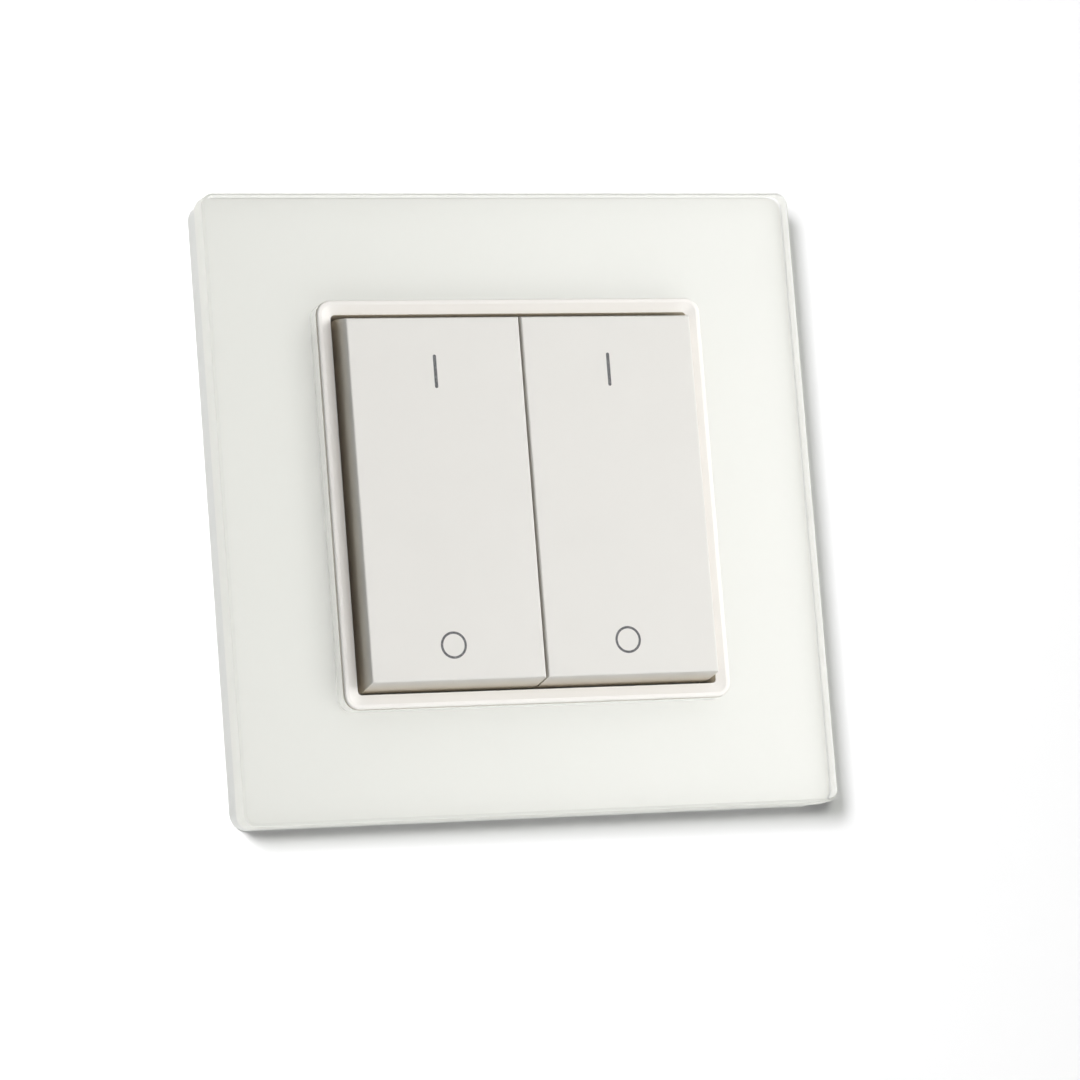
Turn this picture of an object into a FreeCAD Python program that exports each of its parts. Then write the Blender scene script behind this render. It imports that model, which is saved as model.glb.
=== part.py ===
import FreeCAD
import Part
import math
import os

# A wireless double push button switch for a wall, in millimetres.
# It is drawn lying on its back, with x across the wall, y up the wall and
# z out of the wall. Each finished piece is then stood up, so that z is up
# and the buttons face the -y side. The origin is the centre of the wall face.

# Glass cover and the white carrier behind it
GLASS_SIDE = 84.5
GLASS_THICK = 3.9
GLASS_CORNER = 1.7
GLASS_ARRIS = 0.4
SHEET_THICK = 0.2
SHEET_INSET = 0.3
CARRIER_DEPTH = 3.7
CARRIER_CORNER = 2.3
CARRIER_INSET = 0.15
CARRIER_WALL = 1.6
CARRIER_SKIN = 1.1
CARRIER_RIB = 1.0
CARRIER_RIB_GAP = 0.4
CARRIER_RIBS_PER_SIDE = 4
CARRIER_BACK_SLANT = 0.5

# Intermediate frame, whose rim shows between the glass and the buttons
RIM_SIDE = 55.0
RIM_CORNER = 2.0
RIM_GAP = 0.15
RIM_RISE = 0.5
RIM_FALL = 0.4
RIM_LAND = 0.35
RIM_EDGE_ROUND = 0.3
OPENING_SIDE = 51.1
OPENING_CORNER = 0.6
FLANGE_REACH = 1.7

# Two rocker buttons
ROCKER_END_GAP = 0.48
ROCKER_SIDE_GAP = 0.925
ROCKER_SPLIT = 0.32
ROCKER_PROUD = 3.6
ROCKER_SKIN = 1.7
ROCKER_WALL = 1.3
ROCKER_END_SLOPE = 0.675
ROCKER_SLOPE_DEPTH = 4.2
ROCKER_SKIRT = 6.4
ROCKER_EDGE_ROUND = 0.25
ROCKER_TILT = 4.0
RIB_THICK = 0.9
RIB_DEPTH = 0.8
RIB_LENGTH = 26.0
RIBS_PER_ROCKER = 3

# Rocker pivots, clipped on stub pins of the module
PIVOT_DROP = 1.2
STUB_RADIUS = 0.8
RUNNING_GAP = 0.05
EAR_THICK = 1.5
EAR_WALL = 0.85
EAR_MOUTH = 1.25
EAR_SIDE_GAP = 0.4
STUB_END = 0.3
TOWER_HALF = 1.6
TOWER_THICK = 1.1

# Mounting plate on the wall
PLATE_SIDE = 71.0
PLATE_THICK = 1.8
PLATE_CORNER = 6.0
SLOT_SPACING = 60.0
SLOT_LENGTH = 6.0
SLOT_WIDTH = 3.6
SCREW_HEAD = 7.0
PAD_SIDE = 11.0
PAD_CORNER = 1.5
PAD_THICK = 0.5
PAD_SPACING = 54.0
CLIP_WIDTH = 6.0
CLIP_THICK = 1.0
CLIP_SPACING = 20.0
CLIP_HOOK = 0.4
CLIP_HOOK_HEIGHT = 0.75
CATCH_SPACING = 40.0
CATCH_REACH = 0.7
CATCH_FOOT = 0.175
CATCH_SLANT = 0.35
CATCH_TOP = 1.0

# Radio module: a tray and its cover
MODULE_SIDE = 40.0
MODULE_CORNER = 1.5
MODULE_WALL = 1.1
MODULE_LIFT = 0.4
MODULE_FLOOR = 0.8
MODULE_ROOF = 0.8
MODULE_NECK = 37.6
NECK_GAP = 0.2
MODULE_LEDGE = 0.2
HEADROOM = 3.0
LAP_DROP = 0.8
SEAM_DROP = 1.4
SLIDE_GAP = 0.05

# Rocking lever with its magnet, one under each rocker
LEVER_SPACING = 20.2
LEVER_WIDTH = 7.0
LEVER_HALF = 10.2
LEVER_BEAM = 0.9
LEVER_HUB = 1.8
LEVER_WAIST = 1.44
LEVER_HUB_LENGTH = 8.8
PIN_RADIUS = 0.75
PIN_END_GAP = 0.3
CHEEK_THICK = 0.8
POLE_WIDTH = 5.2
POLE_THICK = 0.5
POLE_START = 2.2
POLE_INSET = 2.0
POLE_STOP_GAP = 0.045
MAGNET_CORE_GAP = 0.6
PUSH_INSET = 1.6
PUSH_THICK = 1.6
PUSH_GAP = 0.05
WINDOW_MARGIN = 0.6
POST_THICK = 1.2
POST_HALF = 1.6
POST_GAP = 0.3

# Coil on an E shaped core
CORE_THICK = 0.8
CORE_OVERLAP = 3.0
CORE_CENTRE_WIDTH = 2.0
CORE_SIDE_WIDTH = 1.4
CORE_SIDE_SPACING = 10.0
CORE_BACK = 1.8
CORE_WALL_GAP = 0.7
BOBBIN_SIDE = 5.4
BOBBIN_LEVER_GAP = 1.0
BOBBIN_FLANGE = 0.5
BOBBIN_TUBE = 0.5
BOBBIN_BORE_GAP = 0.05
WINDING_SIDE = 4.8
WINDING_CORNER = 1.4
LEAD_THICK = 0.2
LEAD_WIDTH = 0.4
LEAD_PAD = 1.2

# Return spring, a leaf held at one end and caught by the lever at the other
SPRING_THICK = 0.3
SPRING_WIDTH = 5.0
SPRING_CLAMP = 1.5
SPRING_SLOT_DEPTH = 1.4
SPRING_SLOT_GAP = 0.1
SPRING_RISE = 1.4
SHELF_THICK = 0.85

# Circuit board, what stands on it, and the antenna
BOARD_THICK = 0.8
BOARD_TOP_EDGE = -2.6
BOARD_GAP = 0.2
SHIELD_LENGTH = 11.0
SHIELD_WIDTH = 9.0
SHIELD_HEIGHT = 1.3
SHIELD_SHEET = 0.2
CHIP_SIDE = 5.0
CHIP_HEIGHT = 0.8
CAPACITOR_LENGTH = 3.4
CAPACITOR_WIDTH = 2.6
CAPACITOR_HEIGHT = 1.2
CAPACITOR_GAP = 0.5
DIODE_LENGTH = 1.7
DIODE_WIDTH = 1.0
DIODE_HEIGHT = 0.7
DIODE_STEP = 2.2
CRYSTAL_LENGTH = 3.2
CRYSTAL_WIDTH = 2.5
CRYSTAL_HEIGHT = 0.7
ANTENNA_RADIUS = 0.35
ANTENNA_GAP = 0.25
ANTENNA_REACH = 6.0

# Heights above the wall that the sizes give
GLASS_BACK = CARRIER_DEPTH + SHEET_THICK
GLASS_FRONT = GLASS_BACK + GLASS_THICK
SKIN_BACK = CARRIER_DEPTH - CARRIER_SKIN
RIM_TOP = GLASS_FRONT + RIM_RISE
LIP_TOP = RIM_TOP - RIM_FALL
ROCKER_FACE = GLASS_FRONT + ROCKER_PROUD
ROCKER_INSIDE = ROCKER_FACE - ROCKER_SKIN
PIVOT_Z = ROCKER_INSIDE - PIVOT_DROP
FLOOR_TOP = MODULE_LIFT + MODULE_FLOOR
LEVER_Z = FLOOR_TOP + BOBBIN_SIDE / 2
ROOF_INSIDE = LEVER_Z + HEADROOM
MODULE_TOP = ROOF_INSIDE + MODULE_ROOF
SEAM_Z = ROOF_INSIDE - SEAM_DROP
BOARD_Z = PLATE_THICK + MODULE_LEDGE
BOARD_TOP = BOARD_Z + BOARD_THICK

# Plan sizes that the sizes give
APERTURE = RIM_SIDE + 2 * RIM_GAP
APERTURE_CORNER = RIM_CORNER + RIM_GAP
ROCKER_WIDTH = (OPENING_SIDE - ROCKER_SPLIT) / 2 - ROCKER_SIDE_GAP
ROCKER_FOOT = OPENING_SIDE / 2 - ROCKER_END_GAP
ROCKER_EDGE = ROCKER_FOOT - ROCKER_END_SLOPE
SWING = math.sin(math.radians(ROCKER_TILT))
POLE_END = LEVER_HALF - POLE_INSET
POLE_GAP = CORE_THICK + 2 * (POLE_END * SWING + POLE_STOP_GAP)
PUSH_AT = LEVER_HALF - PUSH_INSET
BEAM_Z = LEVER_Z + POLE_GAP / 2 + POLE_THICK
BEAM_TOP = BEAM_Z + LEVER_BEAM
CAVITY = MODULE_SIDE - 2 * MODULE_WALL
CORE_TIP = POLE_END - CORE_OVERLAP
CORE_END = CAVITY / 2 - CORE_WALL_GAP
BOBBIN_START = LEVER_HALF + BOBBIN_LEVER_GAP
BOBBIN_END = CORE_END - CORE_BACK
EAR_RADIUS = STUB_RADIUS + RUNNING_GAP + EAR_WALL
SPRING_Z = BEAM_Z - SPRING_RISE / 2
BOARD_SIDE = CAVITY - 2 * BOARD_GAP


def block(x0, x1, y0, y1, z0, z1):
    """A box between two corners."""
    return Part.makeBox(x1 - x0, y1 - y0, z1 - z0, FreeCAD.Vector(x0, y0, z0))


def rod(radius, x0, x1, y, z):
    """A round bar that lies across the wall."""
    start = FreeCAD.Vector(x0, y, z)
    return Part.makeCylinder(radius, x1 - x0, start, FreeCAD.Vector(1, 0, 0))


def outline(width, height, radius, z, at=(0, 0)):
    """A rectangle with round corners, as a closed wire."""
    x0 = at[0] - width / 2
    x1 = at[0] + width / 2
    y0 = at[1] - height / 2
    y1 = at[1] + height / 2
    bow = radius * (1 - math.sqrt(0.5))
    corners = [
        ((x1 - radius, y0), (x1 - bow, y0 + bow), (x1, y0 + radius)),
        ((x1, y1 - radius), (x1 - bow, y1 - bow), (x1 - radius, y1)),
        ((x0 + radius, y1), (x0 + bow, y1 - bow), (x0, y1 - radius)),
        ((x0, y0 + radius), (x0 + bow, y0 + bow), (x0 + radius, y0)),
    ]
    edges = []
    last = FreeCAD.Vector(x0 + radius, y0, z)
    for corner in corners:
        start, middle, end = [FreeCAD.Vector(x, y, z) for x, y in corner]
        edges.append(Part.LineSegment(last, start).toShape())
        edges.append(Part.Arc(start, middle, end).toShape())
        last = end
    return Part.Wire(edges)


def slab(width, height, radius, z0, z1, at=(0, 0)):
    """A flat piece with round corners."""
    face = Part.Face(outline(width, height, radius, z0, at))
    return face.extrude(FreeCAD.Vector(0, 0, z1 - z0))


def side_profile(points, x0, x1):
    """A shape given by its side view in y and z, carried across x."""
    path = [FreeCAD.Vector(x0, y, z) for y, z in points]
    path.append(path[0])
    face = Part.Face(Part.makePolygon(path))
    return face.extrude(FreeCAD.Vector(x1 - x0, 0, 0))


def edges_at(shape, z):
    """The edges that lie in one level plane."""
    found = []
    for edge in shape.Edges:
        box = edge.BoundBox
        if abs(box.ZMin - z) < 1e-6 and abs(box.ZMax - z) < 1e-6:
            found.append(edge)
    return found


def stood_up(shape):
    """The piece turned from its back onto its foot, with its front to -y."""
    turned = shape.copy()
    turned.rotate(FreeCAD.Vector(0, 0, 0), FreeCAD.Vector(1, 0, 0), 90)
    return turned


def flipped(shape):
    """The mirror image on the other side of the middle."""
    return shape.mirror(FreeCAD.Vector(0, 0, 0), FreeCAD.Vector(1, 0, 0))


def on_four_sides(shape):
    """Four copies, a quarter turn apart about the middle."""
    copies = []
    for turn in range(4):
        copy = shape.copy()
        copy.rotate(FreeCAD.Vector(0, 0, 0), FreeCAD.Vector(0, 0, 1), 90 * turn)
        copies.append(copy)
    return copies


def wire_run(points, radius):
    """A round wire along straight runs, folded sharply at each corner."""
    heading = points[1] - points[0]
    ring = Part.Wire(Part.makeCircle(radius, points[0], heading))
    sharp_corners = 1
    return Part.makePolygon(points).makePipeShell([ring], True, False, sharp_corners)


# The cover frame


def cover_glass():
    """Clear plate with a square window, its front edges ground at a slant."""
    plate = slab(GLASS_SIDE, GLASS_SIDE, GLASS_CORNER, GLASS_BACK, GLASS_FRONT)
    plate = plate.makeChamfer(GLASS_ARRIS, edges_at(plate, GLASS_FRONT))
    window = slab(APERTURE, APERTURE, APERTURE_CORNER, GLASS_BACK, GLASS_FRONT)
    ring = plate.cut(window)
    lip = []
    for edge in edges_at(ring, GLASS_FRONT):
        if edge.BoundBox.DiagonalLength < 2 * APERTURE and near_window(edge):
            lip.append(edge)
    return ring.makeChamfer(GLASS_ARRIS / 2, lip)


def near_window(edge):
    """True for an edge of the window, not of the outside."""
    box = edge.BoundBox
    reach = max(abs(box.XMin), abs(box.XMax), abs(box.YMin), abs(box.YMax))
    return reach < (APERTURE + GLASS_SIDE) / 4


def bonding_sheet():
    """White adhesive sheet between the glass and its carrier."""
    side = GLASS_SIDE - 2 * SHEET_INSET
    corner = GLASS_CORNER - SHEET_INSET
    sheet = slab(side, side, corner, CARRIER_DEPTH, GLASS_BACK)
    hole = APERTURE + 2 * SHEET_INSET
    corner = APERTURE_CORNER + SHEET_INSET
    return sheet.cut(slab(hole, hole, corner, CARRIER_DEPTH, GLASS_BACK))


def frame_carrier():
    """Moulded tray behind the glass: skin, outer wall, ribs and snap arms."""
    side = GLASS_SIDE - 2 * CARRIER_INSET
    body = slab(side, side, CARRIER_CORNER, 0, CARRIER_DEPTH)
    body = body.makeChamfer(CARRIER_BACK_SLANT, edges_at(body, 0))
    hollow = side - 2 * CARRIER_WALL
    body = body.cut(slab(hollow, hollow, CARRIER_CORNER, 0, SKIN_BACK))
    body = body.cut(slab(APERTURE, APERTURE, APERTURE_CORNER, 0, CARRIER_DEPTH))
    added = []
    reach = hollow / 2 + CARRIER_WALL / 2
    inner = PLATE_SIDE / 2 + CARRIER_RIB_GAP
    step = PLATE_SIDE / CARRIER_RIBS_PER_SIDE
    for place in range(CARRIER_RIBS_PER_SIDE):
        x = (place - (CARRIER_RIBS_PER_SIDE - 1) / 2) * step
        rib = block(x - CARRIER_RIB / 2, x + CARRIER_RIB / 2, inner, reach,
                    CARRIER_SKIN, SKIN_BACK)
        added.extend(on_four_sides(rib))
    for side_x in (-1, 1):
        for side_y in (-1, 1):
            added.append(snap_arm(side_x * CATCH_SPACING / 2, side_y))
    return body.fuse(added).removeSplitter()


def snap_arm(x, side):
    """One springy arm whose barb holds under the edge of the plate."""
    edge = PLATE_SIDE / 2
    near = edge + CLIP_HOOK
    far = near + CLIP_THICK
    tip = edge - CATCH_REACH / 2
    points = [
        (side * near, SKIN_BACK), (side * far, SKIN_BACK), (side * far, CATCH_FOOT),
        (side * near, CATCH_FOOT), (side * tip, CATCH_FOOT + CATCH_SLANT),
        (side * tip, CATCH_TOP), (side * near, CATCH_TOP),
    ]
    return side_profile(points, x - CLIP_WIDTH / 2, x + CLIP_WIDTH / 2)


def intermediate_frame():
    """Rim that stands proud of the glass and falls in towards the buttons."""
    body = slab(RIM_SIDE, RIM_SIDE, RIM_CORNER, PLATE_THICK, RIM_TOP)
    body = body.makeFillet(RIM_EDGE_ROUND, edges_at(body, RIM_TOP))
    flange = RIM_SIDE + 2 * FLANGE_REACH
    body = body.fuse(slab(flange, flange, RIM_CORNER + FLANGE_REACH, PLATE_THICK, SKIN_BACK))
    body = body.cut(slab(OPENING_SIDE, OPENING_SIDE, OPENING_CORNER, PLATE_THICK, RIM_TOP))
    top = RIM_SIDE - 2 * RIM_LAND - 2 * RIM_EDGE_ROUND
    narrow = outline(OPENING_SIDE, OPENING_SIDE, OPENING_CORNER, LIP_TOP)
    wide = outline(top, top, RIM_CORNER - RIM_LAND - RIM_EDGE_ROUND, RIM_TOP)
    body = body.cut(Part.makeLoft([narrow, wide], True, True))
    notch = Part.makeCylinder(SCREW_HEAD / 2, SKIN_BACK - PLATE_THICK,
                              FreeCAD.Vector(SLOT_SPACING / 2, 0, PLATE_THICK))
    return body.cut(on_four_sides(notch)).removeSplitter()


# What holds it on the wall


def mounting_plate():
    """Plate with screw slots, pad pockets, and clips for the module."""
    plate = slab(PLATE_SIDE, PLATE_SIDE, PLATE_CORNER, 0, PLATE_THICK)
    neck = MODULE_NECK + 2 * NECK_GAP
    cuts = [slab(neck, neck, MODULE_CORNER, 0, PLATE_THICK)]
    cuts.extend(on_four_sides(screw_slot()))
    cuts.extend(pad_places())
    for side_x in (-1, 1):
        for side_y in (-1, 1):
            cuts.append(catch_notch(side_x * CATCH_SPACING / 2, side_y))
    plate = plate.cut(cuts)
    clips = []
    for side_x in (-1, 1):
        for side_y in (-1, 1):
            clips.append(module_clip(side_x * CLIP_SPACING / 2, side_y))
    return plate.fuse(clips).removeSplitter()


def screw_slot():
    """A long hole with round ends, on the right-hand side of the plate."""
    reach = (SLOT_LENGTH - SLOT_WIDTH) / 2
    half = SLOT_WIDTH / 2
    middle = SLOT_SPACING / 2
    ends = []
    for x in (middle - reach, middle + reach):
        ends.append(Part.makeCylinder(half, PLATE_THICK, FreeCAD.Vector(x, 0, 0)))
    straight = block(middle - reach, middle + reach, -half, half, 0, PLATE_THICK)
    return straight.fuse(ends).removeSplitter()


def catch_notch(x, side):
    """The step under the plate's edge that a barb of the carrier holds."""
    wide = CLIP_WIDTH / 2 + CLIP_HOOK
    edge = PLATE_SIDE / 2
    y0, y1 = sorted((side * (edge - CATCH_REACH), side * edge))
    return block(x - wide, x + wide, y0, y1, 0, CATCH_TOP + SLIDE_GAP)


def module_clip(x, side):
    """One arm that stands on the plate and hooks over the tray's ridge."""
    wall = MODULE_SIDE / 2
    near = wall + CLIP_HOOK + SLIDE_GAP
    far = near + CLIP_THICK
    hook = ridge_top() + SLIDE_GAP
    top = hook + CLIP_HOOK_HEIGHT
    points = [
        (side * far, PLATE_THICK), (side * far, top),
        (side * (near - CLIP_HOOK / 2), top), (side * (wall + SLIDE_GAP), hook + SLIDE_GAP),
        (side * (wall + SLIDE_GAP), hook), (side * near, hook), (side * near, PLATE_THICK),
    ]
    return side_profile(points, x - CLIP_WIDTH / 2, x + CLIP_WIDTH / 2)


def pad_places():
    """The four places where an adhesive pad lies in the plate."""
    pads = []
    for x in (-PAD_SPACING / 2, PAD_SPACING / 2):
        for y in (-PAD_SPACING / 2, PAD_SPACING / 2):
            pads.append(slab(PAD_SIDE, PAD_SIDE, PAD_CORNER, 0, PAD_THICK, (x, y)))
    return pads


def adhesive_pads():
    """Four foam pads, flush with the back of the plate."""
    return Part.makeCompound(pad_places())


# The radio module's shells


def ridge_top():
    """Height of the ridge on the tray that the plate's clips hold."""
    return SEAM_Z - LAP_DROP


def module_tray():
    """Lower shell: neck, ledge for the board, pin posts and core posts."""
    side = MODULE_SIDE
    body = slab(side, side, MODULE_CORNER, PLATE_THICK, SEAM_Z)
    neck = slab(MODULE_NECK, MODULE_NECK, MODULE_CORNER, MODULE_LIFT, PLATE_THICK)
    body = body.fuse(neck)
    low = MODULE_NECK - 2 * MODULE_WALL
    body = body.cut(slab(low, low, MODULE_CORNER / 2, FLOOR_TOP, BOARD_Z))
    body = body.cut(slab(CAVITY, CAVITY, MODULE_CORNER / 2, BOARD_Z, SEAM_Z))
    lap = side - MODULE_WALL
    body = body.cut(slab(lap, lap, MODULE_CORNER, SEAM_Z - LAP_DROP, SEAM_Z))
    added = []
    for x in lever_centres():
        added.extend(pin_posts(x))
        added.extend(core_posts(x))
        added.append(spring_shelf(x))
    for x in (-CLIP_SPACING / 2, CLIP_SPACING / 2):
        for end in (-1, 1):
            added.append(clip_ridge(x, end))
    return body.fuse(added).removeSplitter()


def lever_centres():
    """Where the middle of each lever lies across the switch."""
    return (-LEVER_SPACING / 2, LEVER_SPACING / 2)


def clip_ridge(x, end):
    """A wedge on the outside of the tray for one clip."""
    wall = MODULE_SIDE / 2
    top = ridge_top()
    points = [
        (end * wall, top - 2 * CLIP_HOOK), (end * (wall + CLIP_HOOK), top - CLIP_HOOK),
        (end * (wall + CLIP_HOOK), top), (end * (wall - SLIDE_GAP), top),
        (end * (wall - SLIDE_GAP), top - 2 * CLIP_HOOK),
    ]
    return side_profile(points, x - CLIP_WIDTH / 2, x + CLIP_WIDTH / 2)


def pin_posts(x):
    """Two posts with open seats for the pivot pin, one each side of a lever."""
    near = LEVER_HUB_LENGTH / 2 + POST_GAP
    posts = []
    for side in (-1, 1):
        x0, x1 = sorted((x + side * near, x + side * (near + POST_THICK)))
        post = block(x0, x1, -POST_HALF, POST_HALF, FLOOR_TOP, LEVER_Z + LEVER_HUB)
        seat = PIN_RADIUS + RUNNING_GAP
        post = post.cut(rod(seat, x0, x1, 0, LEVER_Z))
        post = post.cut(block(x0, x1, -seat, seat, LEVER_Z, LEVER_Z + LEVER_HUB))
        posts.append(post)
    return posts


def core_posts(x):
    """Two posts that carry the back of the core."""
    posts = []
    wide = CORE_SIDE_WIDTH
    for side in (-1, 1):
        at = x + side * CORE_SIDE_SPACING / 2
        posts.append(block(at - wide / 2, at + wide / 2, CORE_END - CORE_BACK, CORE_END,
                           FLOOR_TOP, LEVER_Z - CORE_THICK / 2))
    return posts


def spring_shelf(x):
    """The shelf on the tray's wall that carries the fixed end of a spring."""
    wall = CAVITY / 2
    wide = SPRING_WIDTH / 2 + MODULE_WALL
    top = SPRING_Z - SPRING_THICK / 2
    points = [
        (-wall, top), (-wall + SPRING_CLAMP, top), (-wall + SPRING_CLAMP, top - SHELF_THICK / 2),
        (-wall, top - SHELF_THICK),
    ]
    return side_profile(points, x - wide, x + wide)


def module_cover():
    """Upper shell: windows for the rockers, stub pins and hold-down ribs."""
    side = MODULE_SIDE
    body = slab(side, side, MODULE_CORNER, SEAM_Z, MODULE_TOP)
    body = body.cut(slab(CAVITY, CAVITY, MODULE_CORNER / 2, SEAM_Z, ROOF_INSIDE))
    lap = side - MODULE_WALL - 2 * SLIDE_GAP
    ring = slab(lap, lap, MODULE_CORNER, SEAM_Z - LAP_DROP, SEAM_Z)
    ring = ring.cut(slab(CAVITY, CAVITY, MODULE_CORNER / 2, SEAM_Z - LAP_DROP, SEAM_Z))
    added = [ring]
    cuts = []
    for x in lever_centres():
        cuts.extend(lever_windows(x))
        added.extend(hold_down_ribs(x))
    added.extend(pivot_towers())
    for end in (-1, 1):
        cuts.append(ear_window(end))
    return body.cut(cuts).fuse(added).removeSplitter()


def lever_windows(x):
    """The openings over the two ends of a lever."""
    wide = LEVER_WIDTH / 2 + WINDOW_MARGIN
    inner = PUSH_AT - PUSH_THICK / 2 - 2 * WINDOW_MARGIN
    outer = LEVER_HALF + WINDOW_MARGIN
    top = block(x - wide, x + wide, inner, outer, ROOF_INSIDE, MODULE_TOP)
    bottom = block(x - wide, x + wide, -outer, -inner, ROOF_INSIDE, MODULE_TOP)
    return [top, bottom]


def ear_window(end):
    """The opening that lets an inner rocker clip pass its stub pin."""
    x0, x1 = sorted((end * TOWER_THICK, end * (inner_ear()[1] + EAR_SIDE_GAP)))
    reach = EAR_RADIUS + WINDOW_MARGIN
    return block(x0, x1, -reach, reach, ROOF_INSIDE, MODULE_TOP)


def inner_ear():
    """Where an inner rocker clip starts and ends, counted from the middle."""
    start = TOWER_THICK + EAR_SIDE_GAP
    return (start, start + EAR_THICK)


def outer_ear():
    """Where an outer rocker clip starts and ends, counted from the middle."""
    start = MODULE_SIDE / 2 + EAR_SIDE_GAP
    return (start, start + EAR_THICK)


def hold_down_ribs(x):
    """Ribs under the roof that hold the pin, the core and the spring."""
    ribs = []
    near = LEVER_HUB_LENGTH / 2 + POST_GAP
    pin_top = LEVER_Z + PIN_RADIUS
    for side in (-1, 1):
        x0, x1 = sorted((x + side * near, x + side * (near + POST_THICK)))
        ribs.append(block(x0, x1, -PIN_RADIUS, PIN_RADIUS, pin_top, ROOF_INSIDE))
        at = x + side * CORE_SIDE_SPACING / 2
        half = CORE_SIDE_WIDTH / 2
        ribs.append(block(at - half, at + half, CORE_END - CORE_BACK, CORE_END - half,
                          LEVER_Z + CORE_THICK / 2, ROOF_INSIDE))
    wall = CAVITY / 2
    half = SPRING_WIDTH / 2
    ribs.append(block(x - half, x + half, -wall, -wall + SPRING_CLAMP,
                      SPRING_Z + SPRING_THICK / 2, ROOF_INSIDE))
    return ribs


def pivot_towers():
    """The three towers on the roof, with the stub pins the rockers clip on."""
    towers = []
    tip = STUB_RADIUS + RUNNING_GAP
    points = [
        (-TOWER_HALF, MODULE_TOP), (TOWER_HALF, MODULE_TOP), (tip, PIVOT_Z), (-tip, PIVOT_Z),
    ]
    wall = MODULE_SIDE / 2
    spans = [(-TOWER_THICK, TOWER_THICK), (wall - TOWER_THICK, wall), (-wall, TOWER_THICK - wall)]
    for x0, x1 in spans:
        towers.append(side_profile(points, x0, x1))
        towers.append(rod(tip, x0, x1, 0, PIVOT_Z))
    inner = inner_ear()[1] + STUB_END
    outer = outer_ear()[1] + STUB_END
    towers.append(rod(STUB_RADIUS, -inner, inner, 0, PIVOT_Z))
    towers.append(rod(STUB_RADIUS, wall - TOWER_THICK, outer, 0, PIVOT_Z))
    towers.append(rod(STUB_RADIUS, -outer, TOWER_THICK - wall, 0, PIVOT_Z))
    return towers


# The rockers


def rocker():
    """Right-hand rocker: a shell with sloped ends, ribs, clips and pushers."""
    x0 = ROCKER_SPLIT / 2
    x1 = x0 + ROCKER_WIDTH
    slope_end = ROCKER_FACE - ROCKER_SLOPE_DEPTH
    foot = ROCKER_FACE - ROCKER_SKIRT
    points = [
        (-ROCKER_FOOT, foot), (-ROCKER_FOOT, slope_end), (-ROCKER_EDGE, ROCKER_FACE),
        (ROCKER_EDGE, ROCKER_FACE), (ROCKER_FOOT, slope_end), (ROCKER_FOOT, foot),
    ]
    body = side_profile(points, x0, x1)
    body = body.makeFillet(ROCKER_EDGE_ROUND, edges_at(body, ROCKER_FACE))
    body = body.cut(rocker_hollow(x0, x1, slope_end, foot))
    added = rocker_ribs()
    added.extend(rocker_ears())
    added.extend(rocker_pushers())
    return body.fuse(added).removeSplitter()


def rocker_hollow(x0, x1, slope_end, foot):
    """The inside of a rocker, with its inner wall cut away over the module."""
    edge = ROCKER_EDGE - ROCKER_WALL
    end = ROCKER_FOOT - ROCKER_WALL
    points = [
        (-end, foot), (-end, slope_end), (-edge, ROCKER_INSIDE),
        (edge, ROCKER_INSIDE), (end, slope_end), (end, foot),
    ]
    hollow = side_profile(points, x0 + ROCKER_WALL, x1 - ROCKER_WALL)
    over = MODULE_SIDE / 2 + CLIP_THICK + 2 * CLIP_HOOK
    passage = block(x0, x0 + ROCKER_WALL, -over, over, foot, MODULE_TOP + over * SWING)
    tower = TOWER_HALF + TOWER_THICK
    notch = block(x0, x0 + ROCKER_WALL, -tower, tower, foot, ROCKER_INSIDE)
    return hollow.fuse([passage, notch])


def rocker_ribs():
    """Stiffening ribs along the inside of the face, between the two clips."""
    ribs = []
    start = inner_ear()[1]
    step = (MODULE_SIDE / 2 - TOWER_THICK - start) / (RIBS_PER_ROCKER + 1)
    for place in range(RIBS_PER_ROCKER):
        x = start + step * (place + 1)
        ribs.append(block(x - RIB_THICK / 2, x + RIB_THICK / 2, -RIB_LENGTH / 2, RIB_LENGTH / 2,
                          ROCKER_INSIDE - RIB_DEPTH, ROCKER_INSIDE))
    return ribs


def rocker_ears():
    """The two clips that snap over the module's stub pins."""
    ears = []
    bore = STUB_RADIUS + RUNNING_GAP
    for x0, x1 in (inner_ear(), outer_ear()):
        ear = block(x0, x1, -EAR_RADIUS, EAR_RADIUS, PIVOT_Z, ROCKER_INSIDE)
        ear = ear.fuse(rod(EAR_RADIUS, x0, x1, 0, PIVOT_Z))
        ear = ear.cut(rod(bore, x0, x1, 0, PIVOT_Z))
        mouth = block(x0, x1, -EAR_MOUTH / 2, EAR_MOUTH / 2, PIVOT_Z - EAR_RADIUS, PIVOT_Z)
        ears.append(ear.cut(mouth))
    return ears


def rocker_pushers():
    """The two ribs that reach through the cover and rest on the lever."""
    x = LEVER_SPACING / 2
    half = LEVER_WIDTH / 2 - WINDOW_MARGIN / 2
    thick = PUSH_THICK / 2
    pushers = []
    for y in (-PUSH_AT, PUSH_AT):
        pushers.append(block(x - half, x + half, y - thick, y + thick,
                             BEAM_TOP + PUSH_GAP, ROCKER_INSIDE))
    return pushers


# The rocking generator under each rocker


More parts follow.
